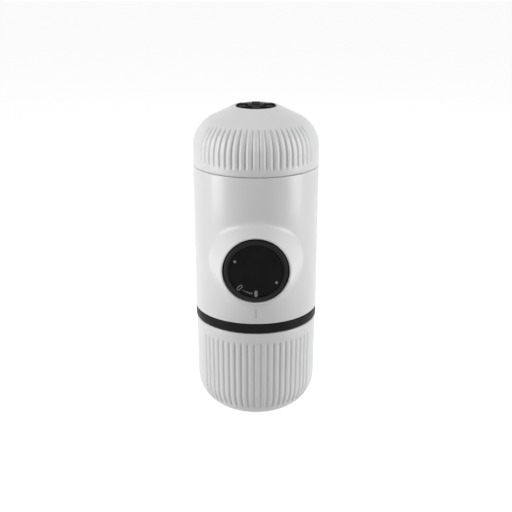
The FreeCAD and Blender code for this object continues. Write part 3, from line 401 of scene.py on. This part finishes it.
def winding(name: str, section: list[Vector], lead: float, turns: float,
            steps: int) -> bpy.types.Object:
    """Sweep a closed section up a helix about Z.

    Args:
        name: The new object's name.
        section: The section's points in metres, in the XZ plane.
        lead: Rise of one turn in mm, negative for one that goes down.
        turns: Number of turns.
        steps: Faces to the turn.

    Returns:
        The closed helix.
    """
    piece = trace(name, section)
    bpy.ops.object.mode_set(mode="OBJECT")
    screw = piece.modifiers.new("helix", "SCREW")
    screw.axis = "Z"
    screw.angle = FULL_TURN * turns
    screw.screw_offset = lead * turns * MM
    screw.steps = screw.render_steps = max(8, round(steps * turns))
    screw.use_merge_vertices = False
    apply_modifier(piece, screw.name)
    bpy.ops.object.mode_set(mode="EDIT")
    bpy.ops.mesh.select_all(action="SELECT")
    bpy.ops.mesh.remove_doubles(threshold=0.0005 * MM)
    bpy.ops.mesh.fill_holes(sides=0)
    bpy.ops.mesh.normals_make_consistent(inside=False)
    bpy.ops.object.mode_set(mode="OBJECT")
    return piece


def dress(piece: bpy.types.Object, finish: Finish, slot: Slot, body: str, *nodes: str) -> None:
    """Give a new piece its finish and body, and hide the CAD nodes that it stands for."""
    piece.data.materials.clear()
    piece.data.materials.append(finish.material())
    if nodes:
        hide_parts(*nodes)
    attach(piece, body)
    LOG.info("%s: %d faces, rides on %s", piece.name, len(piece.data.polygons), body)


# Flutes of the tank and the cup

FLUTED_STEPS = 720
ARC_STEPS = 28


@dataclass
class FlutedShell:
    """The wall and shoulder that grooves run over, in mm.

    Side is 1 for a shoulder above the wall and -1 for one below it.
    """

    radius: float
    shoulder: float
    bend: float
    side: int

    def along(self, spot: Vector) -> float | None:
        """How far up the outline a place lies.

        Args:
            spot: A vertex's place in metres.

        Returns:
            Its distance from the bend along the outer face in mm, or None for the inner face.
        """
        away = math.hypot(spot.x, spot.y) / MM
        rise = spot.z / MM - self.bend
        past_bend = self.side * rise
        if past_bend <= 0.0:
            return None if away < self.radius - 0.05 else rise
        out = away - (self.radius - self.shoulder)
        if math.hypot(out, rise) < self.shoulder - 0.4:
            return None
        return self.side * self.shoulder * math.atan2(past_bend, out)


@dataclass
class Flutes:
    """A front and a back band of shallow upright grooves, in mm and degrees."""

    depth: float = 0.55
    half_width: float = 1.62
    pitch: float = 6.0
    count: int = 20
    shift: float = 0.0
    runout: float = 1.7

    def angle_off(self, angle: float) -> float:
        """Angle between a place and the middle of the nearest groove, front or back."""
        turned = (angle - self.shift) % 180.0
        edge = (self.count / 2 - 0.5) * self.pitch
        offset = turned - 90.0
        if abs(offset) > edge + self.half_width:
            return 90.0
        nearest = round((offset + edge) / self.pitch) * self.pitch - edge
        return offset - nearest

    def press(self, piece: bpy.types.Object, shell: FlutedShell, low: float, high: float) -> None:
        """Press the grooves in: weights on the vertices, then a displacement along the normals.

        Args:
            piece: The piece that gets them.
            shell: Its wall and shoulder.
            low: Where their full depth starts, in mm along the outline from the bend.
            high: Where their full depth ends.
        """
        group = piece.vertex_groups.new(name="flutes")
        for vertex in piece.data.vertices:
            spot = vertex.co
            along = shell.along(spot)
            if along is None:
                continue
            past_end = max(low - along, along - high, 0.0) / self.runout
            off = self.angle_off(math.degrees(math.atan2(spot.y, spot.x))) / self.half_width
            weight = 1.0 - off * off - past_end * past_end
            if weight > 0.0:
                group.add([vertex.index], weight, "REPLACE")
        press = piece.modifiers.new("flutes", "DISPLACE")
        press.direction = "NORMAL"
        press.mid_level = 0.0
        press.strength = -self.depth * MM
        press.vertex_group = group.name
        apply_modifier(piece, press.name)
        piece.vertex_groups.clear()
        smooth(piece, 40.0)


# Water tank

@dataclass
class WaterTank:
    """The fluted dome with its rubber foot and the liner that screws into the main body."""

    body: str = "water_tank"
    radius: float = 31.0
    base: float = 127.3
    wall_rise: float = 8.7
    shoulder: float = 16.1
    slope: float = 26.0
    wall: float = 2.0
    hole: float = 10.1
    top: float = 155.6
    foot_base: float = 152.8
    foot_top: float = 156.0
    foot_radius: float = 9.8
    flutes_rise: float = 3.1
    flutes_reach: float = 45.5

    def build(self) -> None:
        """Make and dress every piece of the tank."""
        self.shell()
        self.foot()
        self.liner()

    def shell(self) -> None:
        """The white fluted dome, open below and round the foot."""
        bend = self.base + self.wall_rise
        middle = (self.radius - self.shoulder, bend)
        slope = math.radians(self.slope)
        sweep = QUARTER_TURN - slope
        outer = [(self.radius, self.base + 0.4 + step) for step in (0, 1.2, 1.9)]
        rows = 11
        lift = (self.wall_rise - 2.3) / rows
        outer += [(self.radius, self.base + 2.3 + lift * i) for i in range(rows)]
        outer += arc(middle, self.shoulder, [sweep * i / ARC_STEPS for i in range(ARC_STEPS + 1)])
        end_x, end_z = outer[-1]
        rim_x = end_x - (self.top - end_z) / math.tan(slope)
        inside = arc(middle, self.shoulder - self.wall, [sweep * (1 - i / 8) for i in range(9)])
        in_x, in_z = inside[0]
        corners = [(self.radius - self.wall, self.base), (self.radius - 0.35, self.base),
                   (self.radius - 0.1, self.base + 0.12)]
        corners += outer
        corners += [(rim_x + 0.25, self.top - 0.12), (rim_x, self.top), (self.hole, self.top),
                    (self.hole, in_z + (in_x - self.hole) * math.tan(slope))]
        corners += inside
        piece = lathe("tank_dome", corners, FLUTED_STEPS)
        flutes = Flutes()
        flutes.press(piece, FlutedShell(self.radius, self.shoulder, bend, 1),
                     self.flutes_rise + flutes.runout - self.wall_rise,
                     math.radians(self.flutes_reach) * self.shoulder)
        dress(piece, WHITE, Slot.WHITE_SHELL, self.body, "tank_shell")

    def foot(self) -> None:
        """The black rubber foot: a dished disc, a hub and a crown of six radial lugs."""
        step = self.foot_top - 1.2
        disc = lathe("tank_foot_disc", outline([
            (0.0, self.foot_base), (self.foot_radius, self.foot_base),
            (self.foot_radius, step, 0.3), (4.6, step - 0.25, 0.25), (4.0, self.foot_top, 0.3),
            (2.4, self.foot_top, 0.25), (1.9, self.foot_top - 0.5, 0.2),
            (0.0, self.foot_top - 0.5)]), 144)
        clear_selection()
        bpy.ops.mesh.primitive_cube_add(size=1.0, location=(0, -7.6 * MM, (step + 0.5) * MM),
                                        scale=(3.9 * MM, 4.3 * MM, 1.36 * MM))
        lug = bpy.context.active_object
        settle(lug)
        bpy.ops.object.mode_set(mode="EDIT")
        bpy.ops.mesh.select_all(action="SELECT")
        bpy.ops.mesh.bevel(offset=0.28 * MM, segments=3, affect="EDGES")
        bpy.ops.object.mode_set(mode="OBJECT")
        for vertex in lug.data.vertices:
            away = math.hypot(vertex.co.x, vertex.co.y)
            if away > self.foot_radius * MM:
                vertex.co.xy *= self.foot_radius * MM / away
        smooth(lug)
        crown = turned_copies(lug, 6)
        piece = join([disc] + crown, "tank_rubber_foot")
        dress(piece, RUBBER, Slot.BLACK_RUBBER, self.body, "tank_foot")

    def liner(self) -> None:
        """The inner vessel, its neck with the screw thread that draws it down."""
        bend = self.base + self.wall_rise
        centre = self.radius - self.shoulder
        curve = self.shoulder - 2.2
        turns = [0.2, 0.4, 0.6, 0.8]
        top = 152.5
        slope = math.radians(self.slope)
        slant_x = centre + self.shoulder * math.sin(slope)
        slant_z = bend + self.shoulder * math.cos(slope) - 2.2 / math.cos(slope)
        slant_top = slant_x - (top - slant_z) / math.tan(slope)
        shell = [(24.8, 109.1), (26.4, 109.1, 0.3), (26.4, self.base), (28.8, self.base, 0.2),
                 (28.8, bend)]
        shell += arc((centre, bend), curve, turns)
        shell += [(slant_x, slant_z), (slant_top, top), (0.0, top), (0.0, top - 1.6),
                  (slant_top - 0.8, top - 1.6), (slant_x - 1.2, slant_z - 1.6)]
        shell += arc((centre, bend), curve - 1.6, turns[::-1])
        shell += [(27.2, bend), (27.2, self.base + 1.6), (24.8, self.base + 1.6, 0.3)]
        vessel = lathe("tank_vessel", outline(shell), 192)
        section = [Vector((r, 0, z)) * MM for r, z in
                   [(26.3, 111.0), (27.05, 111.5), (27.05, 112.3), (26.3, 112.8)]]
        thread = winding("tank_thread", section, 10.0, 0.9, 160)
        piece = join([vessel, thread], "tank_threaded_liner")
        smooth(piece)
        dress(piece, CLEAR_GREY, Slot.GREY_PLASTIC, self.body, "tank_liner")


# Main body

@dataclass
class MainBody:
    """The white sleeve with the knob's boss, its moulded index line drawn as a bar of painted
    shade, and the tank's mouth.
    """

    body: str = "main_body"
    radius: float = 31.0
    low: float = 53.7
    high: float = 127.0
    wall: float = 2.0
    knob_level: float = 84.2
    opening: float = 15.9
    boss_face: float = 39.6
    boss_rim: float = 16.5
    boss_foot: float = 23.5
    boss_slope: float = 3.2
    boss_crest: float = 0.6
    boss_blend: float = 3.0
    bore_rounding: float = 1.4

    def build(self) -> None:
        """Make and dress the visible pieces of the main body."""
        self.sleeve()
        self.index_line()
        self.collar()

    def sleeve(self) -> None:
        """The tube, cut open in front for the boss that frames the knob."""
        inside = self.radius - self.wall
        piece = lathe("body_tube", outline([
            (inside, self.low), (self.radius, self.low, 0.35), (self.radius, self.high, 0.35),
            (inside, self.high)]), 360)
        clear_selection()
        bpy.ops.mesh.primitive_cylinder_add(
            vertices=256, radius=self.boss_foot * MM, depth=30 * MM,
            rotation=(QUARTER_TURN, 0, 0), location=(0, -32 * MM, self.knob_level * MM))
        cut_away(piece, bpy.context.active_object)
        smooth(piece, 30.0)
        piece = join([piece, self.boss()], "body_tube")
        dress(piece, WHITE, Slot.WHITE_SHELL, self.body, "body_sleeve")

    def boss(self) -> bpy.types.Object:
        """The low boss that swells out of the tube and frames the knob, bored for it.

        It is turned between two flat levels, 40 mm and 20 mm out, which are then moved to their
        curved faces.

        Returns:
            The boss, a ring whose outer edge lies in the tube's wall.
        """
        rings = [self.opening + step for step in (0.05, 0.15, 0.3, 0.45, 0.6)]
        rows = 38
        run = self.boss_foot - self.boss_rim
        rings += [self.boss_rim + run * (i / rows) ** 1.25 for i in range(1, rows + 1)]
        outer = [(radius, 40.0) for radius in rings]
        inner = [(radius, 20.0) for radius in (self.boss_foot, 20.0, 17.5, self.opening)]
        piece = lathe("boss", outer + inner + [(self.opening, 39.0)], 256, Turning.OUTWARD,
                      (0, 0, self.knob_level))
        for vertex in piece.data.vertices:
            across = vertex.co.x / MM
            radius = math.hypot(across, vertex.co.z / MM - self.knob_level)
            if vertex.co.y / MM < -39.9:
                vertex.co.y = -self.front(across, radius) * MM
            elif vertex.co.y / MM > -20.1:
                vertex.co.y = -math.sqrt((self.radius - self.wall) ** 2 - across ** 2) * MM
        smooth(piece, 40.0)
        return piece

    def front(self, across: float, radius: float) -> float:
        """How far the boss's surface stands out from the body's axis.

        Args:
            across: Distance to the side of the knob's axis, in mm.
            radius: Distance from the knob's axis, in mm.

        Returns:
            The distance in mm: the tube's wall and the boss's flank, blended where they meet.
        """
        tube = math.sqrt(self.radius ** 2 - across ** 2)
        edge = max(0.0, self.opening + 0.45 - radius)
        past = max(0.0, radius - self.boss_rim)
        drop = self.boss_slope * (math.hypot(past, self.boss_crest) - self.boss_crest)
        flank = self.boss_face - self.bore_rounding * edge ** 2 - drop
        share = min(1.0, past / (self.boss_foot - self.boss_rim))
        blend = self.boss_blend * math.sin(math.pi * share)
        return (tube + flank + math.hypot(tube - flank, blend)) / 2

    def index_line(self) -> None:
        """The short upright moulded line below the knob, which the knob's marks point to, drawn as
        a flat grey bar of painted shade that stands in for its relief.
        """
        piece = pill("index_line", 4.8, 0.45)
        piece.data.transform(Matrix.Translation(Vector((0, -(self.radius + 0.02), 59.2)) * MM))
        # The index line's grey is painted shade standing in for the relief of the moulded line.
        dress(piece, INDEX_LINE_PAINTED_SHADE, Slot.WHITE_SHELL, self.body)

    def collar(self) -> None:
        """The black mouth moulding that the tank's neck turns in."""
        piece = lathe("tank_mouth_thread", outline([
            (28.9, 120.0), (28.9, 126.8, 0.2), (27.6, 126.8, 0.3), (27.6, 120.0)]), 192)
        dress(piece, BLACK, Slot.BLACK_PLASTIC, self.body)


def pill(name: str, length: float, width: float, stroke: float = 0.0) -> bpy.types.Object:
    """A thin flat bar with round ends, upright in the XZ plane and facing out to -Y; it serves the
    knob's printed marks and the index line's painted shade.

    Args:
        name: The new object's name.
        length: Length along Z in mm.
        width: Width in mm; with the same length it is a dot.
        stroke: Width of the line in mm where the mark is only outlined, or 0 for a full one.

    Returns:
        The mark, centred on the origin.
    """
    clear_selection()
    bpy.ops.mesh.primitive_circle_add(vertices=32, radius=width / 2 * MM, fill_type="NGON",
                                      rotation=(QUARTER_TURN, 0, math.pi))
    piece = bpy.context.active_object
    piece.name = piece.data.name = name
    settle(piece)
    stretch = (length - width) / 2 * MM
    for vertex in piece.data.vertices:
        if abs(vertex.co.z) > 1e-7:
            vertex.co.z += math.copysign(stretch, vertex.co.z)
    bpy.ops.object.mode_set(mode="EDIT")
    bpy.ops.mesh.select_mode(type="FACE")
    bpy.ops.mesh.select_all(action="SELECT")
    if stroke:
        bpy.ops.mesh.inset(thickness=stroke * MM)
        bpy.ops.mesh.delete(type="FACE")
        bpy.ops.mesh.select_all(action="SELECT")
    bpy.ops.mesh.extrude_region_move(TRANSFORM_OT_translate={"value": (0, -PRINT_AND_PAINTED_SHADE_THICK * MM, 0)})
    bpy.ops.mesh.select_all(action="SELECT")
    bpy.ops.mesh.normals_make_consistent(inside=False)
    bpy.ops.object.mode_set(mode="OBJECT")
    return piece


# Pump knob

@dataclass
class PushKnob:
    """The round knob: a skirt with a soft rim, a sunk cap, and the printed lock marks."""

    body: str = "knob"
    level: float = 84.2
    radius: float = 15.5
    skirt: float = 7.0
    face: float = 40.0
    rim: float = 2.3
    cap_radius: float = 13.05
    cap_face: float = 39.7
    marks_radius: float = 11.15

    def build(self) -> None:
        """Make and dress every piece of the knob."""
        self.shell()
        self.cap()
        self.marks()

    def shell(self) -> None:
        """The skirt with its soft rim, the hub inside and the two bayonet lugs."""
        inside = self.radius - 1.6
        shell = [(inside, self.skirt), (self.radius, self.skirt, 0.4)]
        reach = self.rim - 0.1
        for i in range(9):
            turn = QUARTER_TURN * i / 8
            shell.append((self.radius - reach + reach * math.cos(turn) ** 0.9,
                          self.face - 1.6 + 1.6 * math.sin(turn) ** 0.9))
        shell += [(13.1, self.face - 0.05), (13.1, 38.7), (6.8, 38.7), (6.8, 36.9),
                  (4.05, 36.9), (4.05, 31.2), (8.6, 31.2, 0.4), (8.6, 36.4, 0.3),
                  (inside, 36.4, 0.5)]
        piece = lathe("knob_skirt", outline(shell), 256, Turning.OUTWARD, (0, 0, self.level))
        piece = join([piece] + self.lugs(), "knob_skirt")
        dress(piece, KNOB, Slot.KNOB_BLACK, self.body, "knob_shell")

    def lugs(self) -> list[bpy.types.Object]:
        """The two bayonet lugs at the end of the skirt."""
        low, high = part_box("knob_shell")
        reach = min(high[2] / MM - self.level, 16.9)
        clear_selection()
        bpy.ops.mesh.primitive_cube_add(
            size=1.0, location=(0, -(self.skirt + 1.7) * MM, (self.level + reach / 2 + 7.4) * MM),
            scale=(3.2 * MM, 2.6 * MM, (reach - 14.8) * MM))
        lug = bpy.context.active_object
        lug.name = "knob_lug"
        settle(lug)
        bpy.ops.object.mode_set(mode="EDIT")
        bpy.ops.mesh.select_all(action="SELECT")
        bpy.ops.mesh.bevel(offset=0.25 * MM, segments=2, affect="EDGES")
        bpy.ops.object.mode_set(mode="OBJECT")
        smooth(lug)
        return turned_copies(lug, 2, "Y", (0, 0, self.level))

    def cap(self) -> None:
        """The flat disc sunk in the rim."""
        piece = lathe("knob_face_disc", outline([
            (0.0, 38.7), (self.cap_radius, 38.7), (self.cap_radius, self.cap_face, 0.35),
            (self.marks_radius - 3.0, self.cap_face), (0.0, self.cap_face)]), 192,
                      Turning.OUTWARD, (0, 0, self.level))
        dress(piece, KNOB_FACE, Slot.KNOB_BLACK, self.body, "knob_cap")

    def mark(self, piece: bpy.types.Object, clock: float) -> None:
        """Put a mark on the face.

        Args:
            piece: The mark, centred on the origin.
            clock: Its angle from straight down towards the viewer's left, in degrees.
        """
        turn = Matrix.Rotation(math.radians(clock), 4, "Y")
        out = Matrix.Translation(Vector((0, 0, -self.marks_radius)) * MM)
        centre = Matrix.Translation(Vector((0, -self.cap_face + 0.01, self.level)) * MM)
        piece.data.transform(centre @ turn @ out)
        dress(piece, PRINT, Slot.KNOB_BLACK, self.body)

    def marks(self) -> None:
        """The generic lock marks: a filled bar, an open bar, five dots between, two spacers."""
        self.mark(pill("mark_locked", 3.3, 1.55), 0.0)
        self.mark(pill("mark_open", 3.2, 1.75, 0.42), 44.0)
        for i, size in enumerate((0.85, 0.75, 0.65, 0.55, 0.45)):
            self.mark(pill(f"mark_dot_{i + 1}", size, size), 11.0 + 5.5 * i)
        self.mark(pill("mark_spacer_left", 1.4, 1.4), 116.5)
        self.mark(pill("mark_spacer_right", 1.4, 1.4), -60.5)


# Portafilter

@dataclass
class Portafilter:
    """The black ring with its collar, bowl, spigot and spout."""

    body: str = "portafilter"
    low: float = 48.6
    high: float = 53.4
    radius: float = 30.85

    def build(self) -> None:
        """Make and dress every piece of the portafilter."""
        self.ring()
        self.cup_grip()
        self.spout()

    def ring(self) -> None:
        """The ring, collar and bowl as one moulding."""
        piece = lathe("portafilter_moulding", outline([
            (2.2, 24.8), (5.0, 24.8, 0.3), (5.0, 29.0, 0.5), (22.9, 31.4, 1.5), (22.9, 51.0),
            (26.35, 51.0), (26.35, 44.0, 0.3), (28.05, 44.0, 0.4), (28.05, 46.0), (26.95, 46.0),
            (26.95, 47.5), (28.05, 47.5), (28.05, self.low), (self.radius, self.low, 0.5),
            (self.radius, self.high, 0.5), (26.9, self.high), (26.9, 61.0, 0.4), (24.7, 61.0, 0.4),
            (24.7, self.high), (20.9, self.high, 0.3), (20.9, 33.4, 1.0), (2.2, 31.0)]), 256)
        dress(piece, BLACK, Slot.BLACK_PLASTIC, self.body, "portafilter")

    def cup_grip(self) -> None:
        """The rubber ring in the spigot's groove."""
        piece = lathe("cup_grip_ring", outline([
            (27.0, 46.05, 0.3), (28.1, 46.05, 0.5), (28.1, 47.45, 0.5), (27.0, 47.45, 0.3)]), 192)
        dress(piece, RUBBER, Slot.BLACK_RUBBER, self.body, "cup_ring")

    def spout(self) -> None:
        """The spout cap below the bowl."""
        low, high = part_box("outlet_nozzle")
        base = low[2] / MM
        top = high[2] / MM
        piece = lathe("spout_cap", outline([
            (1.6, base), (5.8, base, 0.4), (7.0, base + 1.2, 0.4), (7.0, top, 0.3), (5.1, top),
            (5.1, top - 3.0), (4.25, top - 3.0), (4.25, base + 1.5), (1.6, base + 1.5)]), 96)
        dress(piece, GREY, Slot.GREY_PLASTIC, self.body, "outlet_nozzle")


# Cup

@dataclass
class CupSet:
    """The fluted drinking cup and the measuring scoop that is stored in it."""

    body: str = "cup"
    rim_radius: float = 30.7
    wall_radius: float = 30.3
    height: float = 48.3
    wall: float = 2.2
    floor: float = 2.4
    shoulder: float = 17.0
    slope: float = 30.0
    foot: float = 20.5
    flutes_reach: float = 28.0

    def build(self) -> None:
        """Make and dress the cup and the scoop."""
        self.cup()
        self.scoop()

    def cup(self) -> None:
        """The white fluted cup."""
        slope = math.radians(self.slope)
        sweep = QUARTER_TURN - slope
        centre = self.wall_radius - self.shoulder
        end_x = centre + self.shoulder * math.sin(slope)
        end_z = (end_x - self.foot) * math.tan(slope)
        bend = end_z + self.shoulder * math.cos(slope)
        points = [(0.0, 0.0), (self.foot - 0.3, 0.0), (self.foot + 0.1, 0.1)]
        points += arc((centre, bend), self.shoulder,
                      [-sweep * (1 - i / ARC_STEPS) for i in range(ARC_STEPS + 1)])
        rise = self.height - 0.4 - bend
        lean = self.rim_radius - self.wall_radius
        band = self.height - 5.3 - bend
        heights = [2.0 * i for i in range(1, int((band - 2.4) / 2.0) + 1)]
        heights += [band - 2.2 + 0.45 * i for i in range(6)] + [band + 1.2]
        points += [(self.wall_radius + lean * h / rise, bend + h) for h in heights]
        inside = self.rim_radius - self.wall
        points += [(self.rim_radius, self.height - 0.4),
                   (self.rim_radius - 0.1, self.height - 0.12),
                   (self.rim_radius - 0.4, self.height), (inside + 0.3, self.height),
                   (inside, self.height - 0.3), (self.wall_radius - self.wall, bend)]
        points += arc((centre, bend), self.shoulder - self.wall,
                      [-sweep * i / 10 for i in range(1, 11)])
        points += [(self.foot, self.floor), (0.0, self.floor)]
        piece = lathe("fluted_cup", points, FLUTED_STEPS)
        flutes = Flutes(shift=1.5)
        flutes.press(piece, FlutedShell(self.wall_radius, self.shoulder, bend, -1),
                     -math.radians(self.flutes_reach) * self.shoulder, band - flutes.runout)
        dress(piece, WHITE, Slot.WHITE_SHELL, self.body, "drinking_cup")

    def scoop(self) -> None:
        """The round measure with its turned-out lip."""
        piece = lathe("measuring_scoop", outline([
            (0.0, 2.5), (11.0, 2.5, 0.8), (20.4, 8.0, 0.8), (20.4, 14.2), (21.2, 14.2, 0.2),
            (21.2, 15.5, 0.4), (19.1, 15.5, 0.4), (19.1, 8.0, 0.8), (10.35, 3.8, 0.6),
            (0.0, 3.8)]), 160)
        dress(piece, BLACK, Slot.BLACK_PLASTIC, self.body, "coffee_scoop")


# Springs

WIRE_SIDES = 10


@dataclass
class CoilSpring:
    """A round-wire compression spring that fills the room its CAD solid keeps.

    Wire and travel are in mm, though the travel is not used; every spring keeps its length.
    """

    name: str
    node: str
    body: str
    wire: float
    turns: float
    turning: Turning = Turning.UPRIGHT
    joint: str = ""
    travel: float = 0.0

    def build(self) -> None:
        """Wind the spring in its node's box, and give a valve's spring a mesh of its own."""
        low, high = (Vector(corner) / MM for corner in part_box(self.node))
        middle = (low + high) / 2
        along = 1 if self.turning is Turning.OUTWARD else 2
        length = high[along] - low[along]
        radius = (high[0] - low[0]) / 2 - self.wire / 2
        lead = (length - self.wire) / self.turns
        ring = arc((radius, (self.wire - length) / 2), self.wire / 2,
                   [FULL_TURN * i / WIRE_SIDES for i in range(WIRE_SIDES)])
        section = [Vector((out, 0, rise)) * MM for out, rise in ring]
        piece = winding(self.name, section, lead, self.turns, 40)
        if self.turning is Turning.OUTWARD:
            piece.data.transform(Matrix.Rotation(QUARTER_TURN, 4, "X"))
        piece.data.transform(Matrix.Translation(middle * MM))
        smooth(piece, 60.0)
        dress(piece, SPRING, Slot.SPRING_STEEL, self.body, self.node)
        if self.joint:
            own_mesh(piece)


# CAD nodes that stay as they are

@dataclass
class FrameDresser:
    """Gives each CAD node that stays in view its finish."""

    finishes: dict[str, Finish]

    def build(self) -> None:
        """Dress the nodes one by one."""
        for name, finish in self.finishes.items():
            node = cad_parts[name]
            for slot in node.material_slots:
                slot.material = finish.material()
            LOG.info("%s: CAD node in %s", name, finish.name)


# Studio

@dataclass
class Studio:
    """The pale floor, the soft lamps and the camera."""

    eye: Point = (0.0, -460.157, 236.0)
    pitch: float = 18.907
    lens: float = 66.87
    floor_grey: float = 0.6
    floor_glow: float = 0.84
    fill_light: float = 0.2

    def build(self) -> None:
        """Set up everything round the object."""
        self.floor()
        self.world()
        self.lamp("left_softbox", (-494, -165, 200), 240, 620, 2.5)
        self.lamp("right_softbox", (506, -130, 200), 240, 620, 2.25)
        self.lamp("top_softbox", (0, 40, 620), 420, 420, 0.55)
        self.camera()
        bpy.context.scene.view_settings.view_transform = "Standard"

    def floor(self) -> None:
        """A pale floor that looks white to the camera and keeps the object's shadow."""
        clear_selection()
        bpy.ops.mesh.primitive_plane_add(size=6.0, location=(0, 0, 0))
        floor = bpy.context.active_object
        floor.name = "studio_floor"
        material = bpy.data.materials.new("pale_floor")
        material.use_nodes = True
        nodes, links = material.node_tree.nodes, material.node_tree.links
        nodes.clear()
        output = nodes.new("ShaderNodeOutputMaterial")
        both = nodes.new("ShaderNodeAddShader")
        matt = nodes.new("ShaderNodeBsdfDiffuse")
        matt.inputs["Color"].default_value = (*[self.floor_grey] * 3, 1.0)
        glow = nodes.new("ShaderNodeEmission")
        level = nodes.new("ShaderNodeMapRange")
        level.inputs["To Max"].default_value = self.floor_glow
        links.new(self.seen_ray(material.node_tree), level.inputs["Value"])
        links.new(level.outputs["Result"], glow.inputs["Strength"])
        links.new(matt.outputs[0], both.inputs[0])
        links.new(glow.outputs[0], both.inputs[1])
        links.new(both.outputs[0], output.inputs["Surface"])
        floor.data.materials.append(material)

    @staticmethod
    def seen_ray(tree: bpy.types.NodeTree) -> bpy.types.NodeSocket:
        """A value that is 1 for camera, mirror and see-through rays.

        Args:
            tree: The node tree that it is made in.

        Returns:
            The socket that gives it.
        """
        path = tree.nodes.new("ShaderNodeLightPath")
        first = tree.nodes.new("ShaderNodeMath")
        first.operation = "MAXIMUM"
        second = tree.nodes.new("ShaderNodeMath")
        second.operation = "MAXIMUM"
        tree.links.new(path.outputs["Is Camera Ray"], first.inputs[0])
        tree.links.new(path.outputs["Is Glossy Ray"], first.inputs[1])
        tree.links.new(first.outputs[0], second.inputs[0])
        tree.links.new(path.outputs["Is Transmission Ray"], second.inputs[1])
        return second.outputs[0]

    def world(self) -> None:
        """White where it is seen, and a soft plain light elsewhere."""
        world = bpy.data.worlds.new("studio")
        world.use_nodes = True
        bpy.context.scene.world = world
        tree = world.node_tree
        shade = tree.nodes["Background"]
        level = tree.nodes.new("ShaderNodeMapRange")
        level.inputs["To Min"].default_value = self.fill_light
        level.inputs["To Max"].default_value = 1.0
        tree.links.new(self.seen_ray(tree), level.inputs["Value"])
        tree.links.new(level.outputs["Result"], shade.inputs["Strength"])
        shade.inputs["Color"].default_value = (1.0, 1.0, 1.0, 1.0)

    def lamp(self, name: str, place: Point, width: float, height: float, power: float) -> None:
        """Hang one softbox that faces the middle of the object.

        Args:
            name: The lamp's name.
            place: Its centre in mm.
            width: Its width in mm.
            height: Its height in mm.
            power: Its power in watts.
        """
        light = bpy.data.lights.new(name, "AREA")
        light.shape = "RECTANGLE"
        light.size = width * MM
        light.size_y = height * MM
        light.energy = power
        lamp = bpy.data.objects.new(name, light)
        lamp.location = Vector(place) * MM
        aim = Vector((0, 0, 80)) * MM - lamp.location
        lamp.rotation_euler = aim.to_track_quat("-Z", "Y").to_euler()
        bpy.context.scene.collection.objects.link(lamp)

    def camera(self) -> None:
        """The camera at the photograph's place."""
        data = bpy.data.cameras.new("camera")
        data.lens = self.lens
        data.sensor_width = 36.0
        camera = bpy.data.objects.new("camera", data)
        camera.location = Vector(self.eye) * MM
        camera.rotation_euler = (math.radians(90.0 - self.pitch), 0.0, 0.0)
        bpy.context.scene.collection.objects.link(camera)
        bpy.context.scene.camera = camera


def main() -> None:
    """Build the studio and every sub-assembly in order, and report each piece."""
    logging.basicConfig(level=logging.INFO, format="%(message)s")
    Studio().build()
    WaterTank().build()
    MainBody().build()
    PushKnob().build()
    Portafilter().build()
    CupSet().build()
    CoilSpring("return_coil", "return_spring", "main_body", 1.3, 6.5, Turning.OUTWARD).build()
    CoilSpring("inlet_coil", "inlet_spring", "main_body", 0.5, 5.0,
               joint="inlet_lift", travel=1.0).build()
    CoilSpring("outlet_coil", "outlet_spring", "main_body", 0.5, 5.0,
               joint="outlet_lift", travel=1.0).build()
    CoilSpring("spout_coil", "nozzle_spring", "portafilter", 0.5, 2.5,
               joint="nozzle_lift", travel=0.8).build()
    FrameDresser({
        "tank_seal": SILICONE, "tank_collar": BLACK, "collar_screws": STEEL,
        "inlet_strainer": STEEL, "air_valve": SILICONE, "pump_housing": GREY,
        "knob_guide": BLACK, "pump_cylinder": BRASS, "rod_gland": BLACK, "gland_seal": RUBBER,
        "valve_block": GREY, "port_seals": RUBBER, "inlet_seat": BLACK, "outlet_cage": BLACK,
        "inlet_valve": SILICONE, "outlet_valve": SILICONE, "plunger": STEEL,
        "plunger_seal": RUBBER, "plunger_clip": SPRING, "group_head": BLACK,
        "group_screws": STEEL, "group_gasket": SILICONE, "shower_screen": STEEL,
        "shower_screw": STEEL, "filter_basket": STEEL, "nozzle_valve": SILICONE,
    }).build()


if __name__ == "__main__":
    main()
